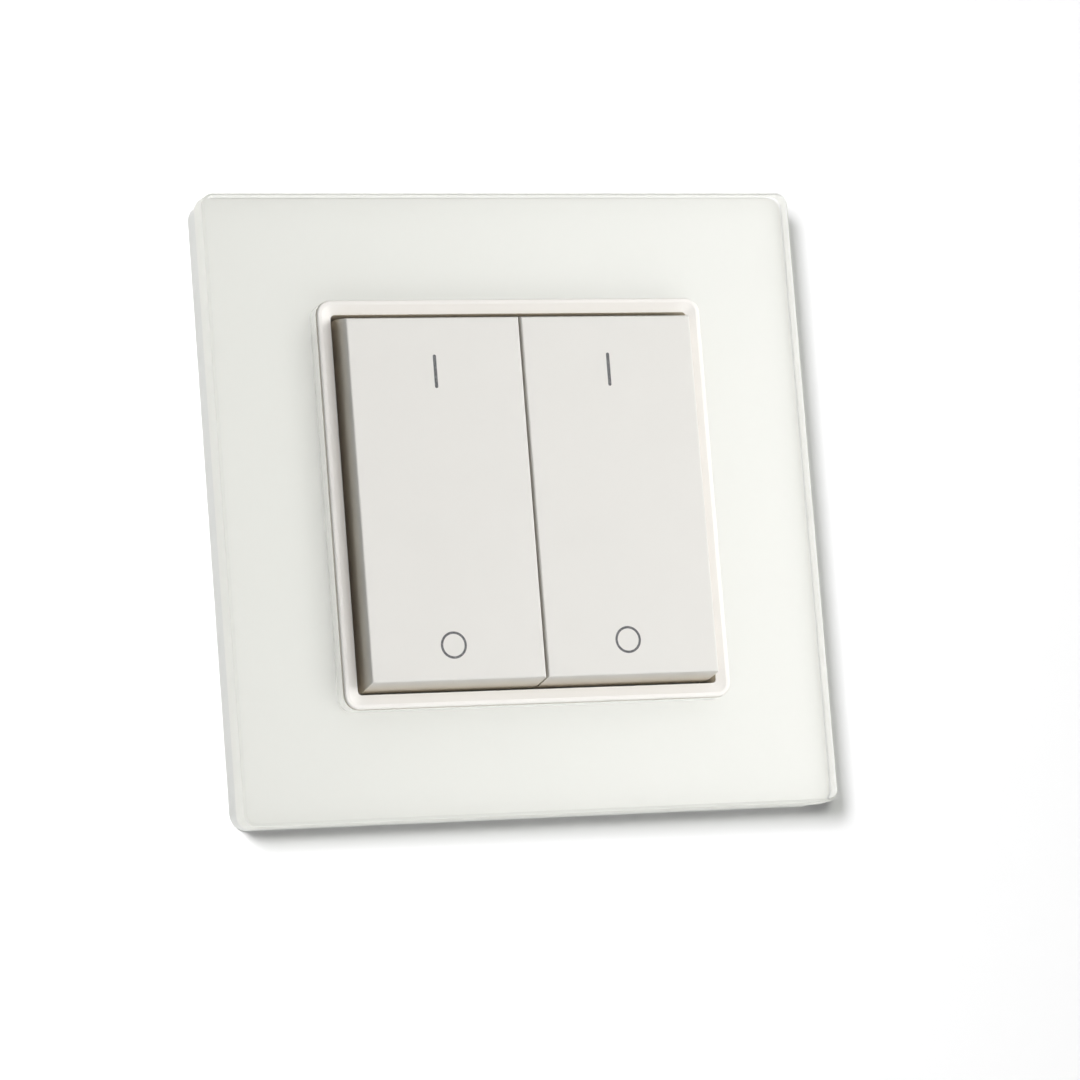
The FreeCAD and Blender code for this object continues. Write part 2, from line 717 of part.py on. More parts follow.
def energy_lever(x):
    """Lever that rocks on the pin, with a cage for the magnet and a spring slot."""
    half = LEVER_WIDTH / 2
    thin = LEVER_BEAM / 2
    points = [
        (-LEVER_HALF, BEAM_TOP - thin), (-LEVER_HALF, BEAM_TOP), (LEVER_HALF, BEAM_TOP),
        (LEVER_HALF, BEAM_TOP - thin), (POLE_END, BEAM_Z), (LEVER_HUB, BEAM_Z),
        (LEVER_WAIST, LEVER_Z), (-LEVER_WAIST, LEVER_Z), (-LEVER_HUB, BEAM_Z),
        (-POLE_END, BEAM_Z),
    ]
    lever = side_profile(points, x - half, x + half)
    hub = rod(LEVER_HUB, x - LEVER_HUB_LENGTH / 2, x + LEVER_HUB_LENGTH / 2, 0, LEVER_Z)
    added = [hub]
    low = LEVER_Z - POLE_GAP / 2 - POLE_THICK
    for side in (-1, 1):
        near = side * POLE_WIDTH / 2
        far = near + side * CHEEK_THICK
        a, b = sorted((x + near, x + far))
        added.append(block(a, b, POLE_START, POLE_END, low, BEAM_Z))
    slot_end = LEVER_HALF - SPRING_SLOT_DEPTH
    holder = block(x - half, x + half, -LEVER_HALF, -slot_end + CHEEK_THICK / 2,
                   BEAM_Z - SPRING_RISE, BEAM_TOP)
    added.append(holder)
    lever = lever.fuse(added)
    tall = SPRING_THICK / 2 + SPRING_SLOT_GAP
    wide = SPRING_WIDTH / 2 + SPRING_SLOT_GAP
    slot = block(x - wide, x + wide, -LEVER_HALF, -slot_end, SPRING_Z - tall, SPRING_Z + tall)
    bore = rod(PIN_RADIUS + RUNNING_GAP, x - LEVER_HUB_LENGTH, x + LEVER_HUB_LENGTH, 0, LEVER_Z)
    return lever.cut([slot, bore]).removeSplitter()


def magnet(x):
    """Bar magnet between the pole plates."""
    half = POLE_WIDTH / 2
    return block(x - half, x + half, POLE_START, CORE_TIP - MAGNET_CORE_GAP,
                 LEVER_Z - POLE_GAP / 2, LEVER_Z + POLE_GAP / 2)


def pole_plate(x, side):
    """Soft iron plate on one face of the magnet, one side up, one side down."""
    half = POLE_WIDTH / 2
    near = POLE_GAP / 2
    z0, z1 = sorted((LEVER_Z + side * near, LEVER_Z + side * (near + POLE_THICK)))
    return block(x - half, x + half, POLE_START, POLE_END, z0, z1)


def iron_core(x):
    """E shaped core: its middle leg runs through the coil to the magnet."""
    z0 = LEVER_Z - CORE_THICK / 2
    z1 = LEVER_Z + CORE_THICK / 2
    reach = CORE_SIDE_SPACING / 2 + CORE_SIDE_WIDTH / 2
    parts = [block(x - reach, x + reach, CORE_END - CORE_BACK, CORE_END, z0, z1)]
    legs = [(x, CORE_CENTRE_WIDTH), (x - CORE_SIDE_SPACING / 2, CORE_SIDE_WIDTH),
            (x + CORE_SIDE_SPACING / 2, CORE_SIDE_WIDTH)]
    for at, wide in legs:
        parts.append(block(at - wide / 2, at + wide / 2, CORE_TIP, CORE_END, z0, z1))
    return parts[0].fuse(parts[1:]).removeSplitter()


def bobbin(x):
    """Spool with square flanges on the core's middle leg."""
    spool = bobbin_bar(x, BOBBIN_START, BOBBIN_END, BOBBIN_TUBE)
    half = BOBBIN_SIDE / 2
    for start in (BOBBIN_START, BOBBIN_END - BOBBIN_FLANGE):
        flange = block(x - half, x + half, start, start + BOBBIN_FLANGE,
                       LEVER_Z - half, LEVER_Z + half)
        spool = spool.fuse(flange)
    return spool.cut(bobbin_bar(x, BOBBIN_START, BOBBIN_END, 0)).removeSplitter()


def bobbin_bar(x, y0, y1, wall):
    """The core's middle leg with its clearance, grown by a wall."""
    wide = CORE_CENTRE_WIDTH / 2 + BOBBIN_BORE_GAP + wall
    tall = CORE_THICK / 2 + BOBBIN_BORE_GAP + wall
    return block(x - wide, x + wide, y0, y1, LEVER_Z - tall, LEVER_Z + tall)


def winding(x):
    """Copper winding that fills the spool between its flanges."""
    y0 = BOBBIN_START + BOBBIN_FLANGE
    y1 = BOBBIN_END - BOBBIN_FLANGE
    coil = slab(WINDING_SIDE, WINDING_SIDE, WINDING_CORNER, 0, y1 - y0)
    coil.rotate(FreeCAD.Vector(0, 0, 0), FreeCAD.Vector(1, 0, 0), 90)
    coil.translate(FreeCAD.Vector(x, y1, LEVER_Z))
    return coil.cut(bobbin_bar(x, y0, y1, BOBBIN_TUBE))


def coil_leads(x):
    """Two thin strips that run under the lever from the coil to the board."""
    leads = []
    low = FLOOR_TOP + SLIDE_GAP
    edge = BOARD_TOP_EDGE + BOARD_GAP
    end = BOARD_TOP_EDGE - LEAD_PAD
    points = [
        (BOBBIN_START, low), (BOBBIN_START, low + LEAD_THICK),
        (edge + LEAD_THICK, low + LEAD_THICK),
        (edge + LEAD_THICK, BOARD_TOP + LEAD_THICK), (end, BOARD_TOP + LEAD_THICK),
        (end, BOARD_TOP), (edge, BOARD_TOP), (edge, low),
    ]
    for side in (-1, 1):
        at = x + side * POLE_WIDTH / 4
        leads.append(side_profile(points, at - LEAD_WIDTH / 2, at + LEAD_WIDTH / 2))
    return Part.makeCompound(leads)


def return_spring(x):
    """Flat spring from the tray's wall to the slot in the lever."""
    half = SPRING_WIDTH / 2
    tip = LEVER_HALF - SPRING_SLOT_DEPTH + SPRING_SLOT_GAP + SLIDE_GAP
    return block(x - half, x + half, -CAVITY / 2, -tip,
                 SPRING_Z - SPRING_THICK / 2, SPRING_Z + SPRING_THICK / 2)


def pivot_pin():
    """Steel pin that carries both levers."""
    end = CAVITY / 2 - PIN_END_GAP
    return rod(PIN_RADIUS, -end, end, 0, LEVER_Z)


# The circuit


def circuit_board():
    """Board on the tray's ledge, under the lower half of the levers."""
    low = -BOARD_SIDE / 2
    middle = (low + BOARD_TOP_EDGE) / 2
    return slab(BOARD_SIDE, BOARD_TOP_EDGE - low, MODULE_CORNER / 2, BOARD_Z, BOARD_TOP,
                (0, middle))


def board_middle():
    """Height up the wall of the board's middle."""
    return (BOARD_TOP_EDGE - BOARD_SIDE / 2) / 2


def radio_shield():
    """Tin can over the radio chip, folded from thin sheet."""
    at = (0, board_middle())
    outer = slab(SHIELD_LENGTH, SHIELD_WIDTH, SHIELD_SHEET * 2, BOARD_TOP,
                 BOARD_TOP + SHIELD_HEIGHT, at)
    inner = slab(SHIELD_LENGTH - 2 * SHIELD_SHEET, SHIELD_WIDTH - 2 * SHIELD_SHEET, SHIELD_SHEET,
                 BOARD_TOP, BOARD_TOP + SHIELD_HEIGHT - SHIELD_SHEET, at)
    return outer.cut(inner)


def on_board(length, width, height, x, y):
    """A small block that stands on the board."""
    return block(x - length / 2, x + length / 2, y - width / 2, y + width / 2,
                 BOARD_TOP, BOARD_TOP + height)


def radio_chip():
    """Radio chip under the can."""
    return on_board(CHIP_SIDE, CHIP_SIDE, CHIP_HEIGHT, 0, board_middle())


def diode_row():
    """Height up the wall of the diodes, just past the levers' lower ends."""
    return -LEVER_HALF - DIODE_LENGTH


def storage_capacitors():
    """Two capacitors that hold the pulse of the coils."""
    x = LEVER_SPACING / 2
    y = diode_row() - DIODE_LENGTH / 2 - CAPACITOR_GAP - CAPACITOR_WIDTH / 2
    pair = []
    for side in (-1, 1):
        pair.append(on_board(CAPACITOR_LENGTH, CAPACITOR_WIDTH, CAPACITOR_HEIGHT, side * x, y))
    return Part.makeCompound(pair)


def rectifier_diodes():
    """Four diodes, two beside each coil's leads."""
    diodes = []
    for x in lever_centres():
        for side in (-1, 1):
            diodes.append(on_board(DIODE_WIDTH, DIODE_LENGTH, DIODE_HEIGHT,
                                   x + side * DIODE_STEP, diode_row()))
    return Part.makeCompound(diodes)


def crystal():
    """Quartz crystal below the radio can."""
    y = board_middle() - (SHIELD_WIDTH + CRYSTAL_WIDTH + BOARD_THICK) / 2
    return on_board(CRYSTAL_LENGTH, CRYSTAL_WIDTH, CRYSTAL_HEIGHT, 0, y)


def wire_antenna():
    """Wire from the board that runs round the top of the module."""
    reach = CAVITY / 2 - ANTENNA_GAP - ANTENNA_RADIUS
    high = ROOF_INSIDE - ANTENNA_GAP - ANTENNA_RADIUS - SLIDE_GAP
    foot = -ANTENNA_REACH
    points = [
        FreeCAD.Vector(-reach, foot, BOARD_TOP), FreeCAD.Vector(-reach, foot, high),
        FreeCAD.Vector(-reach, reach, high), FreeCAD.Vector(reach, reach, high),
        FreeCAD.Vector(reach, foot, high),
    ]
    return wire_run(points, ANTENNA_RADIUS)


def pieces():
    """Every separate piece by name, lying on its back."""
    made = {
        "cover_glass": cover_glass(),
        "glass_bonding_sheet": bonding_sheet(),
        "frame_carrier": frame_carrier(),
        "intermediate_frame": intermediate_frame(),
        "mounting_plate": mounting_plate(),
        "adhesive_pads": adhesive_pads(),
        "module_tray": module_tray(),
        "module_cover": module_cover(),
        "pivot_pin": pivot_pin(),
        "circuit_board": circuit_board(),
        "radio_shield": radio_shield(),
        "radio_chip": radio_chip(),
        "storage_capacitors": storage_capacitors(),
        "rectifier_diodes": rectifier_diodes(),
        "quartz_crystal": crystal(),
        "wire_antenna": wire_antenna(),
        "right_rocker": rocker(),
        "left_rocker": flipped(rocker()),
    }
    for name, x in zip(("left", "right"), lever_centres()):
        made[name + "_energy_lever"] = energy_lever(x)
        made[name + "_magnet"] = magnet(x)
        made[name + "_upper_pole_plate"] = pole_plate(x, 1)
        made[name + "_lower_pole_plate"] = pole_plate(x, -1)
        made[name + "_iron_core"] = iron_core(x)
        made[name + "_coil_bobbin"] = bobbin(x)
        made[name + "_coil_winding"] = winding(x)
        made[name + "_coil_leads"] = coil_leads(x)
        made[name + "_return_spring"] = return_spring(x)
    return made


os.makedirs("parts", exist_ok=True)
for node, shape in pieces().items():
    stood_up(shape).exportStep("parts/" + node + ".step")
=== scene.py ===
import logging
import math
from dataclasses import dataclass, field
from enum import Enum

import bmesh
import bpy
import numpy as np
from mathutils import Matrix, Vector


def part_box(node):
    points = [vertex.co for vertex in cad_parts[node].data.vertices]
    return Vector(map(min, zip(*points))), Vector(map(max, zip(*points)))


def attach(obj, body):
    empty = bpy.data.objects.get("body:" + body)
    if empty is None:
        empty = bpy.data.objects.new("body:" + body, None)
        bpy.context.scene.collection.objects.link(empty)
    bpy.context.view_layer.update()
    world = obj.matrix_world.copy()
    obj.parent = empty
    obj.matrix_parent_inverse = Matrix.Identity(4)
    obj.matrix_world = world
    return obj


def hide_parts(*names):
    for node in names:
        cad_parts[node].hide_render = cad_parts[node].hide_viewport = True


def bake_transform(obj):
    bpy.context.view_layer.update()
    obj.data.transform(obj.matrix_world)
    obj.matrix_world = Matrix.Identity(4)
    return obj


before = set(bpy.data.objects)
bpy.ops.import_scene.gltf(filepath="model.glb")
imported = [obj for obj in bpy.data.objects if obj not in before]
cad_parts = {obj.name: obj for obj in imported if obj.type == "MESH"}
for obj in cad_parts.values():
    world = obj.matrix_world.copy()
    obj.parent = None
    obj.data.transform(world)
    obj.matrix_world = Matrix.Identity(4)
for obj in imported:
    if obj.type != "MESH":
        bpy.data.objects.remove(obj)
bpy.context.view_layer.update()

LOG = logging.getLogger("switch")

# Lengths are in millimetres unless said otherwise, and MM turns them into metres

MM = 0.001
FRAME_PIXELS = 1080
SMOOTH_UNDER = math.radians(32)
WELD_MM = 0.0005
TINY = 1e-6
MARK_STEPS = 96
SECTION_STEPS = 16
COIL_STEPS = 64
WAVE_STEPS = 6
LEAF_STEPS = 30
BEND_STEPS = 10
ARRIS_STEPS = 6
CORNER_STEPS = 14
HOLD = 0.03
SLANT = np.array([1.0, 0.8, 0.6])
TO_RIGHT = np.array([1.0, 0.0, 0.0])
TO_WALL = np.array([0.0, 1.0, 0.0])
UPWARD = np.array([0.0, 0.0, 1.0])
SQUARE = np.array([[-1, -1], [1, -1], [1, 1], [-1, 1]])
WHITE = (1.0, 1.0, 1.0)
GLASS_INDEX = 1.52
STEEP = 0.3
NEARLY_FLAT = 0.9

Colour = tuple[float, float, float]
Socket = bpy.types.NodeSocket
Source = Socket | float | tuple


def screen_colour(red: int, green: int, blue: int) -> Colour:
    """Turns a colour as a screen shows it into the linear light that shaders read.

    Args:
        red: Red as shown, 0 to 255.
        green: Green as shown, 0 to 255.
        blue: Blue as shown, 0 to 255.

    Returns:
        The same colour as three linear shares of white.
    """
    shown = np.array([red, green, blue]) / 255
    linear = np.where(shown <= 0.04045, shown / 12.92, ((shown + 0.055) / 1.055) ** 2.4)
    return tuple(float(share) for share in linear)


def shade(colour: Colour, share: float) -> Colour:
    """A colour with all its parts multiplied by a share."""
    return tuple(part * share for part in colour)


class Side(Enum):
    """The two halves of the switch, by the sign of x."""

    LEFT = -1
    RIGHT = 1

    @property
    def word(self) -> str:
        """The side's name as the CAD nodes and bodies spell it."""
        return self.name.lower()


class Mark(Enum):
    """What is printed on a button: the stroke for on, the ring for off."""

    STROKE = "on_stroke"
    RING = "off_ring"


class Axis(Enum):
    """An axis of the switch, by its place in a vector."""

    ACROSS = 0
    DEPTH = 1
    UP = 2


# Materials


class Shader:
    """A material's node tree, with short ways to add what the finishes share."""

    def __init__(self, name: str, world: bpy.types.World | None = None) -> None:
        """Starts an empty node tree with one output.

        Args:
            name: The material's name.
            world: The world to shade in place of a material.
        """
        self.material = world or bpy.data.materials.new(name)
        self.material.use_nodes = True
        self.tree = self.material.node_tree
        self.tree.nodes.clear()
        self.output = self.add("OutputWorld" if world else "OutputMaterial")

    def add(self, kind: str, fed: dict[str | int, Source] | None = None,
            **settings: object) -> bpy.types.Node:
        """Adds one node.

        Args:
            kind: Blender's name of the node type, without ShaderNode.
            fed: What its inputs get, by name or place: an output to link, or a value.
            settings: Properties of the node itself, such as its operation.

        Returns:
            The new node.
        """
        node = self.tree.nodes.new(f"ShaderNode{kind}")
        for key, value in settings.items():
            setattr(node, key, value)
        for key, source in (fed or {}).items():
            if isinstance(source, Socket):
                self.tree.links.new(source, node.inputs[key])
            else:
                node.inputs[key].default_value = source
        return node

    def show(self, source: Socket, place: str = "Surface") -> None:
        """Sends a shader to the tree's output."""
        self.tree.links.new(source, self.output.inputs[place])

    def place(self) -> Socket:
        """The point of the surface in metres, in the frame of the whole switch."""
        return self.add("TexCoord").outputs["Object"]

    def path(self) -> bpy.types.bpy_prop_collection:
        """What kind of ray meets the surface, and how often it has met others."""
        return self.add("LightPath").outputs

    def noise(self, size_mm: float, detail: float = 2.0,
              stretch: tuple[float, float, float] = (1.0, 1.0, 1.0)) -> Socket:
        """Smooth random values from 0 to 1 over the surface.

        Args:
            size_mm: How large one blotch or grain is.
            detail: How many finer layers are added.
            stretch: How much longer the grain is along x, y and z.

        Returns:
            The output that carries the values.
        """
        scale = tuple(1 / share for share in stretch)
        mapping = self.add("Mapping", {"Vector": self.place(), "Scale": scale})
        noise = self.add("TexNoise", {"Vector": mapping.outputs["Vector"],
                                      "Scale": 1 / (size_mm * MM), "Detail": detail})
        return noise.outputs["Fac"]

    def cells(self, size_mm: float, feature: str = "F1") -> Socket:
        """Distances in random cells: F1 to the middle, DISTANCE_TO_EDGE to the wall."""
        fed = {"Vector": self.place(), "Scale": 1 / (size_mm * MM)}
        return self.add("TexVoronoi", fed, feature=feature).outputs["Distance"]

    def sum(self, operation: str, first: Source, second: Source = 0.0) -> Socket:
        """The result of one sum, named as Blender names it, such as MULTIPLY."""
        return self.add("Math", {0: first, 1: second}, operation=operation).outputs["Value"]

    def part(self, vector: Socket, axis: Axis) -> Socket:
        """The size of a vector's part along one axis, never negative."""
        parts = self.add("SeparateXYZ", {"Vector": vector})
        return self.sum("ABSOLUTE", parts.outputs[axis.value])

    def along(self, axis: Axis) -> Socket:
        """The distance from the middle along one axis, in metres, never negative."""
        return self.part(self.place(), axis)

    def turned_from(self, axis: Axis, limit: float) -> Socket:
        """1 where the normal's part along an axis is under a limit, else 0."""
        facing = self.add("NewGeometry").outputs["True Normal"]
        return self.sum("LESS_THAN", self.part(facing, axis), limit)

    def spread(self, source: Socket, low: float, high: float,
               start: float = 0.0, end: float = 1.0) -> Socket:
        """Stretches values from one range, start to end, over another, low to high."""
        fed = {"Value": source, "From Min": start, "From Max": end, "To Min": low, "To Max": high}
        return self.add("MapRange", fed).outputs["Result"]

    def blend(self, share: Socket, first: Colour, second: Colour) -> Socket:
        """Mixes two colours: all first where the share is 0, all second where it is 1."""
        fed = {"Fac": share, "Color1": (*first, 1), "Color2": (*second, 1)}
        return self.add("MixRGB", fed).outputs["Color"]

    def product(self, first: Socket, second: Socket) -> Socket:
        """Multiplies two colours that vary over the surface."""
        fed = {"Fac": 1.0, "Color1": first, "Color2": second}
        return self.add("MixRGB", fed, blend_type="MULTIPLY").outputs["Color"]

    def mix(self, share: Socket, first: bpy.types.Node, second: bpy.types.Node
            ) -> bpy.types.Node:
        """Mixes two shaders: all first where the share is 0, all second where it is 1."""
        return self.add("MixShader", {0: share, 1: first.outputs[0], 2: second.outputs[0]})

    def bump(self, height: Socket, depth_mm: float) -> Socket:
        """Tilts the surface by heights from 0, low, to 1, that many mm higher."""
        fed = {"Distance": depth_mm * MM, "Height": height}
        return self.add("Bump", fed).outputs["Normal"]

    def principled(self, **sources: Source) -> bpy.types.Node:
        """Adds the main surface shader and sends it to the output.

        Args:
            sources: What its inputs get, with _ for each space in a name.

        Returns:
            The shader node.
        """
        fed = {key.replace("_", " "): source for key, source in sources.items()}
        surface = self.add("BsdfPrincipled", fed)
        self.show(surface.outputs["BSDF"])
        return surface


@dataclass(frozen=True)
class Finish:
    """What every finish has: a name, a colour, and its own way to lay its nodes."""

    name: str
    colour: Colour

    def material(self) -> bpy.types.Material:
        """Builds the finished material.

        Returns:
            The material.
        """
        shader = Shader(self.name)
        self.lay(shader)
        return shader.material

    def lay(self, shader: Shader) -> None:
        """Lays the finish's nodes in an empty tree."""
        raise NotImplementedError


@dataclass(frozen=True)
class Moulded(Finish):
    """Injection moulded plastic: fine spark-eroded grain and faint flow clouds.

    Its walls get painted warm shade, the more the deeper they lie in a gap. The tint
    stands in for light that goes a little way into white plastic and comes back warmer.
    """

    roughness: float = 0.42
    # Painted warm shade on walls in gaps: the colour that such walls are multiplied by.
    painted_gap_shade: Colour = WHITE
    open_from_mm: float = 11.4
    deep_from_mm: float = 8.0
    grain_mm: float = 0.16
    grain_depth_mm: float = 0.004
    grain_swing: float = 0.06
    cloud_mm: float = 9.0
    cloud_share: float = 0.03

    def lay(self, shader: Shader) -> None:
        """Lays clouds and painted warm shade in the colour, and grain in the gloss and relief.

        Args:
            shader: The empty tree.
        """
        clouds = shader.noise(self.cloud_mm, detail=3.0)
        tint = shader.blend(clouds, shade(self.colour, 1 - self.cloud_share), self.colour)
        # Painted warm shade: steep walls are tinted more the deeper they lie below the face.
        deep = shader.spread(shader.along(Axis.DEPTH), 0.0, 1.0,
                             start=self.open_from_mm * MM, end=self.deep_from_mm * MM)
        wall = shader.sum("MULTIPLY", shader.turned_from(Axis.DEPTH, STEEP), deep)
        grain = shader.noise(self.grain_mm, detail=4.0)
        shader.principled(
            IOR=1.49,
            Base_Color=shader.product(tint, shader.blend(wall, WHITE, self.painted_gap_shade)),
            Roughness=shader.spread(grain, self.roughness - self.grain_swing,
                                    self.roughness + self.grain_swing),
            Normal=shader.bump(grain, self.grain_depth_mm))


@dataclass(frozen=True)
class ClearGlass(Finish):
    """Clear float glass, which takes on its colour the further light goes in it.

    Its two faces and its front arrises are polished. Its outer edges and back arrises
    are ground to a satin, which is part dull and lets the light on it glow inside.
    """

    density: float
    smear_mm: float = 6.0
    smear_from: float = 0.5
    smear_full: float = 0.9
    smear_roughness: float = 0.03
    ground_mm: float = 0.12
    ground_colour: Colour = (0.9, 0.9, 0.86)
    ground_roughness: float = 0.45
    ground_swing: float = 0.1
    ground_clear: float = 0.12
    ground_glow: float = 0.4
    ground_from_mm: float = 35.0
    back_below_mm: float = 6.0
    ground_shadow: Colour = (0.7, 0.7, 0.68)
    plate_shadow: Colour = (0.45, 0.46, 0.44)

    def lay(self, shader: Shader) -> None:
        """Lays polish with faint smears, satin where it is ground, and the colour inside.

        Args:
            shader: The empty tree.
        """
        edge = self.ground(shader)
        smears = shader.noise(self.smear_mm, detail=4.0)
        polished = shader.spread(smears, 0.0, self.smear_roughness,
                                 start=self.smear_from, end=self.smear_full)
        grain = shader.noise(self.ground_mm, detail=2.0)
        satin = shader.spread(grain, self.ground_roughness - self.ground_swing,
                              self.ground_roughness + self.ground_swing)
        rough = shader.sum("ADD", shader.sum("MULTIPLY", satin, edge), polished)
        glass = shader.principled(
            IOR=GLASS_INDEX, Roughness=rough,
            Base_Color=shader.blend(edge, WHITE, self.ground_colour),
            Transmission_Weight=shader.spread(edge, 1.0, self.ground_clear))
        self.let_light_through(shader, glass, edge)
        inside = shader.add("VolumeAbsorption",
                            {"Color": (*self.colour, 1), "Density": self.density})
        shader.show(inside.outputs["Volume"], "Volume")

    def ground(self, shader: Shader) -> Socket:
        """Finds what is ground: the outer edges and the arrises at the back.

        Args:
            shader: The material's tree.

        Returns:
            1 there and 0 on the rest.
        """
        reach = shader.sum("MAXIMUM", shader.along(Axis.ACROSS), shader.along(Axis.UP))
        outer = shader.sum("GREATER_THAN", reach, self.ground_from_mm * MM)
        back = shader.sum("LESS_THAN", shader.along(Axis.DEPTH), self.back_below_mm * MM)
        arris = shader.sum("MULTIPLY", shader.turned_from(Axis.DEPTH, NEARLY_FLAT), back)
        dull = shader.sum("MAXIMUM", shader.turned_from(Axis.DEPTH, STEEP), arris)
        return shader.sum("MULTIPLY", dull, outer)

    def let_light_through(self, shader: Shader, glass: bpy.types.Node, edge: Socket) -> None:
        """Lets lamp light pass straight to what is behind the glass, less at its edges.

        Light that crosses the whole plate loses more, so that the plate has its shadow.

        Args:
            shader: The material's tree.
            glass: The main surface shader, which bends what the camera sees.
            edge: 1 on the ground edges, 0 on the rest.
        """
        glow = shader.add("BsdfTranslucent", {"Color": (*self.ground_colour, 1)})
        seen = shader.mix(shader.sum("MULTIPLY", edge, self.ground_glow), glass, glow)
        path = shader.path()
        dull = shader.sum("GREATER_THAN", path["Diffuse Depth"], 0)
        light = shader.sum("MAXIMUM", dull, path["Is Shadow Ray"])
        crossed = shader.sum("GREATER_THAN", path["Transparent Depth"], 0)
        kept = shader.product(shader.blend(edge, WHITE, self.ground_shadow),
                              shader.blend(crossed, WHITE, self.plate_shadow))
        clear = shader.add("BsdfTransparent", {"Color": kept})
        shader.show(shader.mix(light, seen, clear).outputs["Shader"])


@dataclass(frozen=True)
class Metal(Finish):
    """Bare metal with fine rolling or drawing lines."""

    roughness: float = 0.3
    line_mm: float = 0.05
    line_shade: float = 0.86
    line_depth_mm: float = 0.003
    smoother: float = 0.08
    rougher: float = 0.1
    stretch: tuple[float, float, float] = (14.0, 1.0, 1.0)

    def lay(self, shader: Shader) -> None:
        """Lays the lines in the colour, the gloss and the relief.

        Args:
            shader: The empty tree.
        """
        lines = shader.noise(self.line_mm, detail=3.0, stretch=self.stretch)
        shader.principled(
            Metallic=1.0,
            Base_Color=shader.blend(lines, shade(self.colour, self.line_shade), self.colour),
            Roughness=shader.spread(lines, self.roughness - self.smoother,
                                    self.roughness + self.rougher),
            Normal=shader.bump(lines, self.line_depth_mm))


@dataclass(frozen=True)
class Lacquer(Finish):
    """Circuit board: green solder lacquer over copper tracks."""

    track_mm: float = 1.6
    track_width: float = 0.07
    track_shade: float = 1.7
    track_depth_mm: float = 0.03

    def lay(self, shader: Shader) -> None:
        """Lays the tracks where the walls between cells are.

        Args:
            shader: The empty tree.
        """
        walls = shader.cells(self.track_mm, "DISTANCE_TO_EDGE")
        track = shader.sum("LESS_THAN", walls, self.track_width)
        shader.principled(
            IOR=1.5, Roughness=0.3,
            Base_Color=shader.blend(track, self.colour, shade(self.colour, self.track_shade)),
            Normal=shader.bump(track, self.track_depth_mm))


@dataclass(frozen=True)
class Foam(Finish):
    """Closed cell foam tape: small pits with painted shade in them, soft and dull."""

    cell_mm: float = 0.35
    painted_pit_shade: float = 0.82
    pit_depth_mm: float = 0.06

    def lay(self, shader: Shader) -> None:
        """Lays the pits in the relief, and painted shade at their bottoms in the colour.

        Args:
            shader: The empty tree.
        """
        # The same cells sink the pits in the relief and paint shade, darkest at each pit's
        # bottom.
        pits = shader.cells(self.cell_mm)
        shader.principled(
            IOR=1.4, Roughness=0.85,
            Base_Color=shader.blend(pits, shade(self.colour, self.painted_pit_shade), self.colour),
            Normal=shader.bump(pits, self.pit_depth_mm))


@dataclass(frozen=True)
class Capped(Finish):
    """A small electronic part: a plain body with tinned ends."""

    cap: Colour
    axis: Axis
    middle_mm: float
    half_body_mm: float
    grain_mm: float = 0.12
    grain_depth_mm: float = 0.006

    def lay(self, shader: Shader) -> None:
        """Lays the body, and the caps that start a set distance from each part's middle.

        Args:
            shader: The empty tree.
        """
        away = shader.sum("SUBTRACT", shader.along(self.axis), self.middle_mm * MM)
        cap = shader.sum("GREATER_THAN", shader.sum("ABSOLUTE", away), self.half_body_mm * MM)
        grain = shader.noise(self.grain_mm, detail=3.0)
        shader.principled(
            IOR=1.55, Metallic=cap,
            Base_Color=shader.blend(cap, self.colour, self.cap),
            Roughness=shader.spread(grain, low=0.3, high=0.55),
            Normal=shader.bump(grain, self.grain_depth_mm))


@dataclass(frozen=True)
class EnamelledWire(Finish):
    """Copper wire under a clear enamel."""

    patch_mm: float = 0.8
    patch_shade: float = 0.7

    def lay(self, shader: Shader) -> None:
        """Lays patches in the colour and the gloss, under a clear coat.

        Args:
            shader: The empty tree.
        """
        patches = shader.noise(self.patch_mm, detail=3.0)
        shader.principled(
            Metallic=1.0, Coat_Weight=0.8, Coat_Roughness=0.12,
            Base_Color=shader.blend(patches, shade(self.colour, self.patch_shade),
                                    self.colour),
            Roughness=shader.spread(patches, low=0.22, high=0.4))


@dataclass(frozen=True)
class Ink(Finish):
    """Pad printed ink, thin enough for the plastic's grain to break it up."""

    worn: Colour
    grain_mm: float = 0.14
    thin_from: float = 0.45
    thin_full: float = 0.75

    def lay(self, shader: Shader) -> None:
        """Lays thin places in the colour.

        Args:
            shader: The empty tree.
        """
        grain = shader.noise(self.grain_mm, detail=2.0)
        thin = shader.spread(grain, 0.0, 1.0, start=self.thin_from, end=self.thin_full)
        shader.principled(IOR=1.45, Roughness=0.6,
                          Base_Color=shader.blend(thin, self.colour, self.worn))


# Surfaces


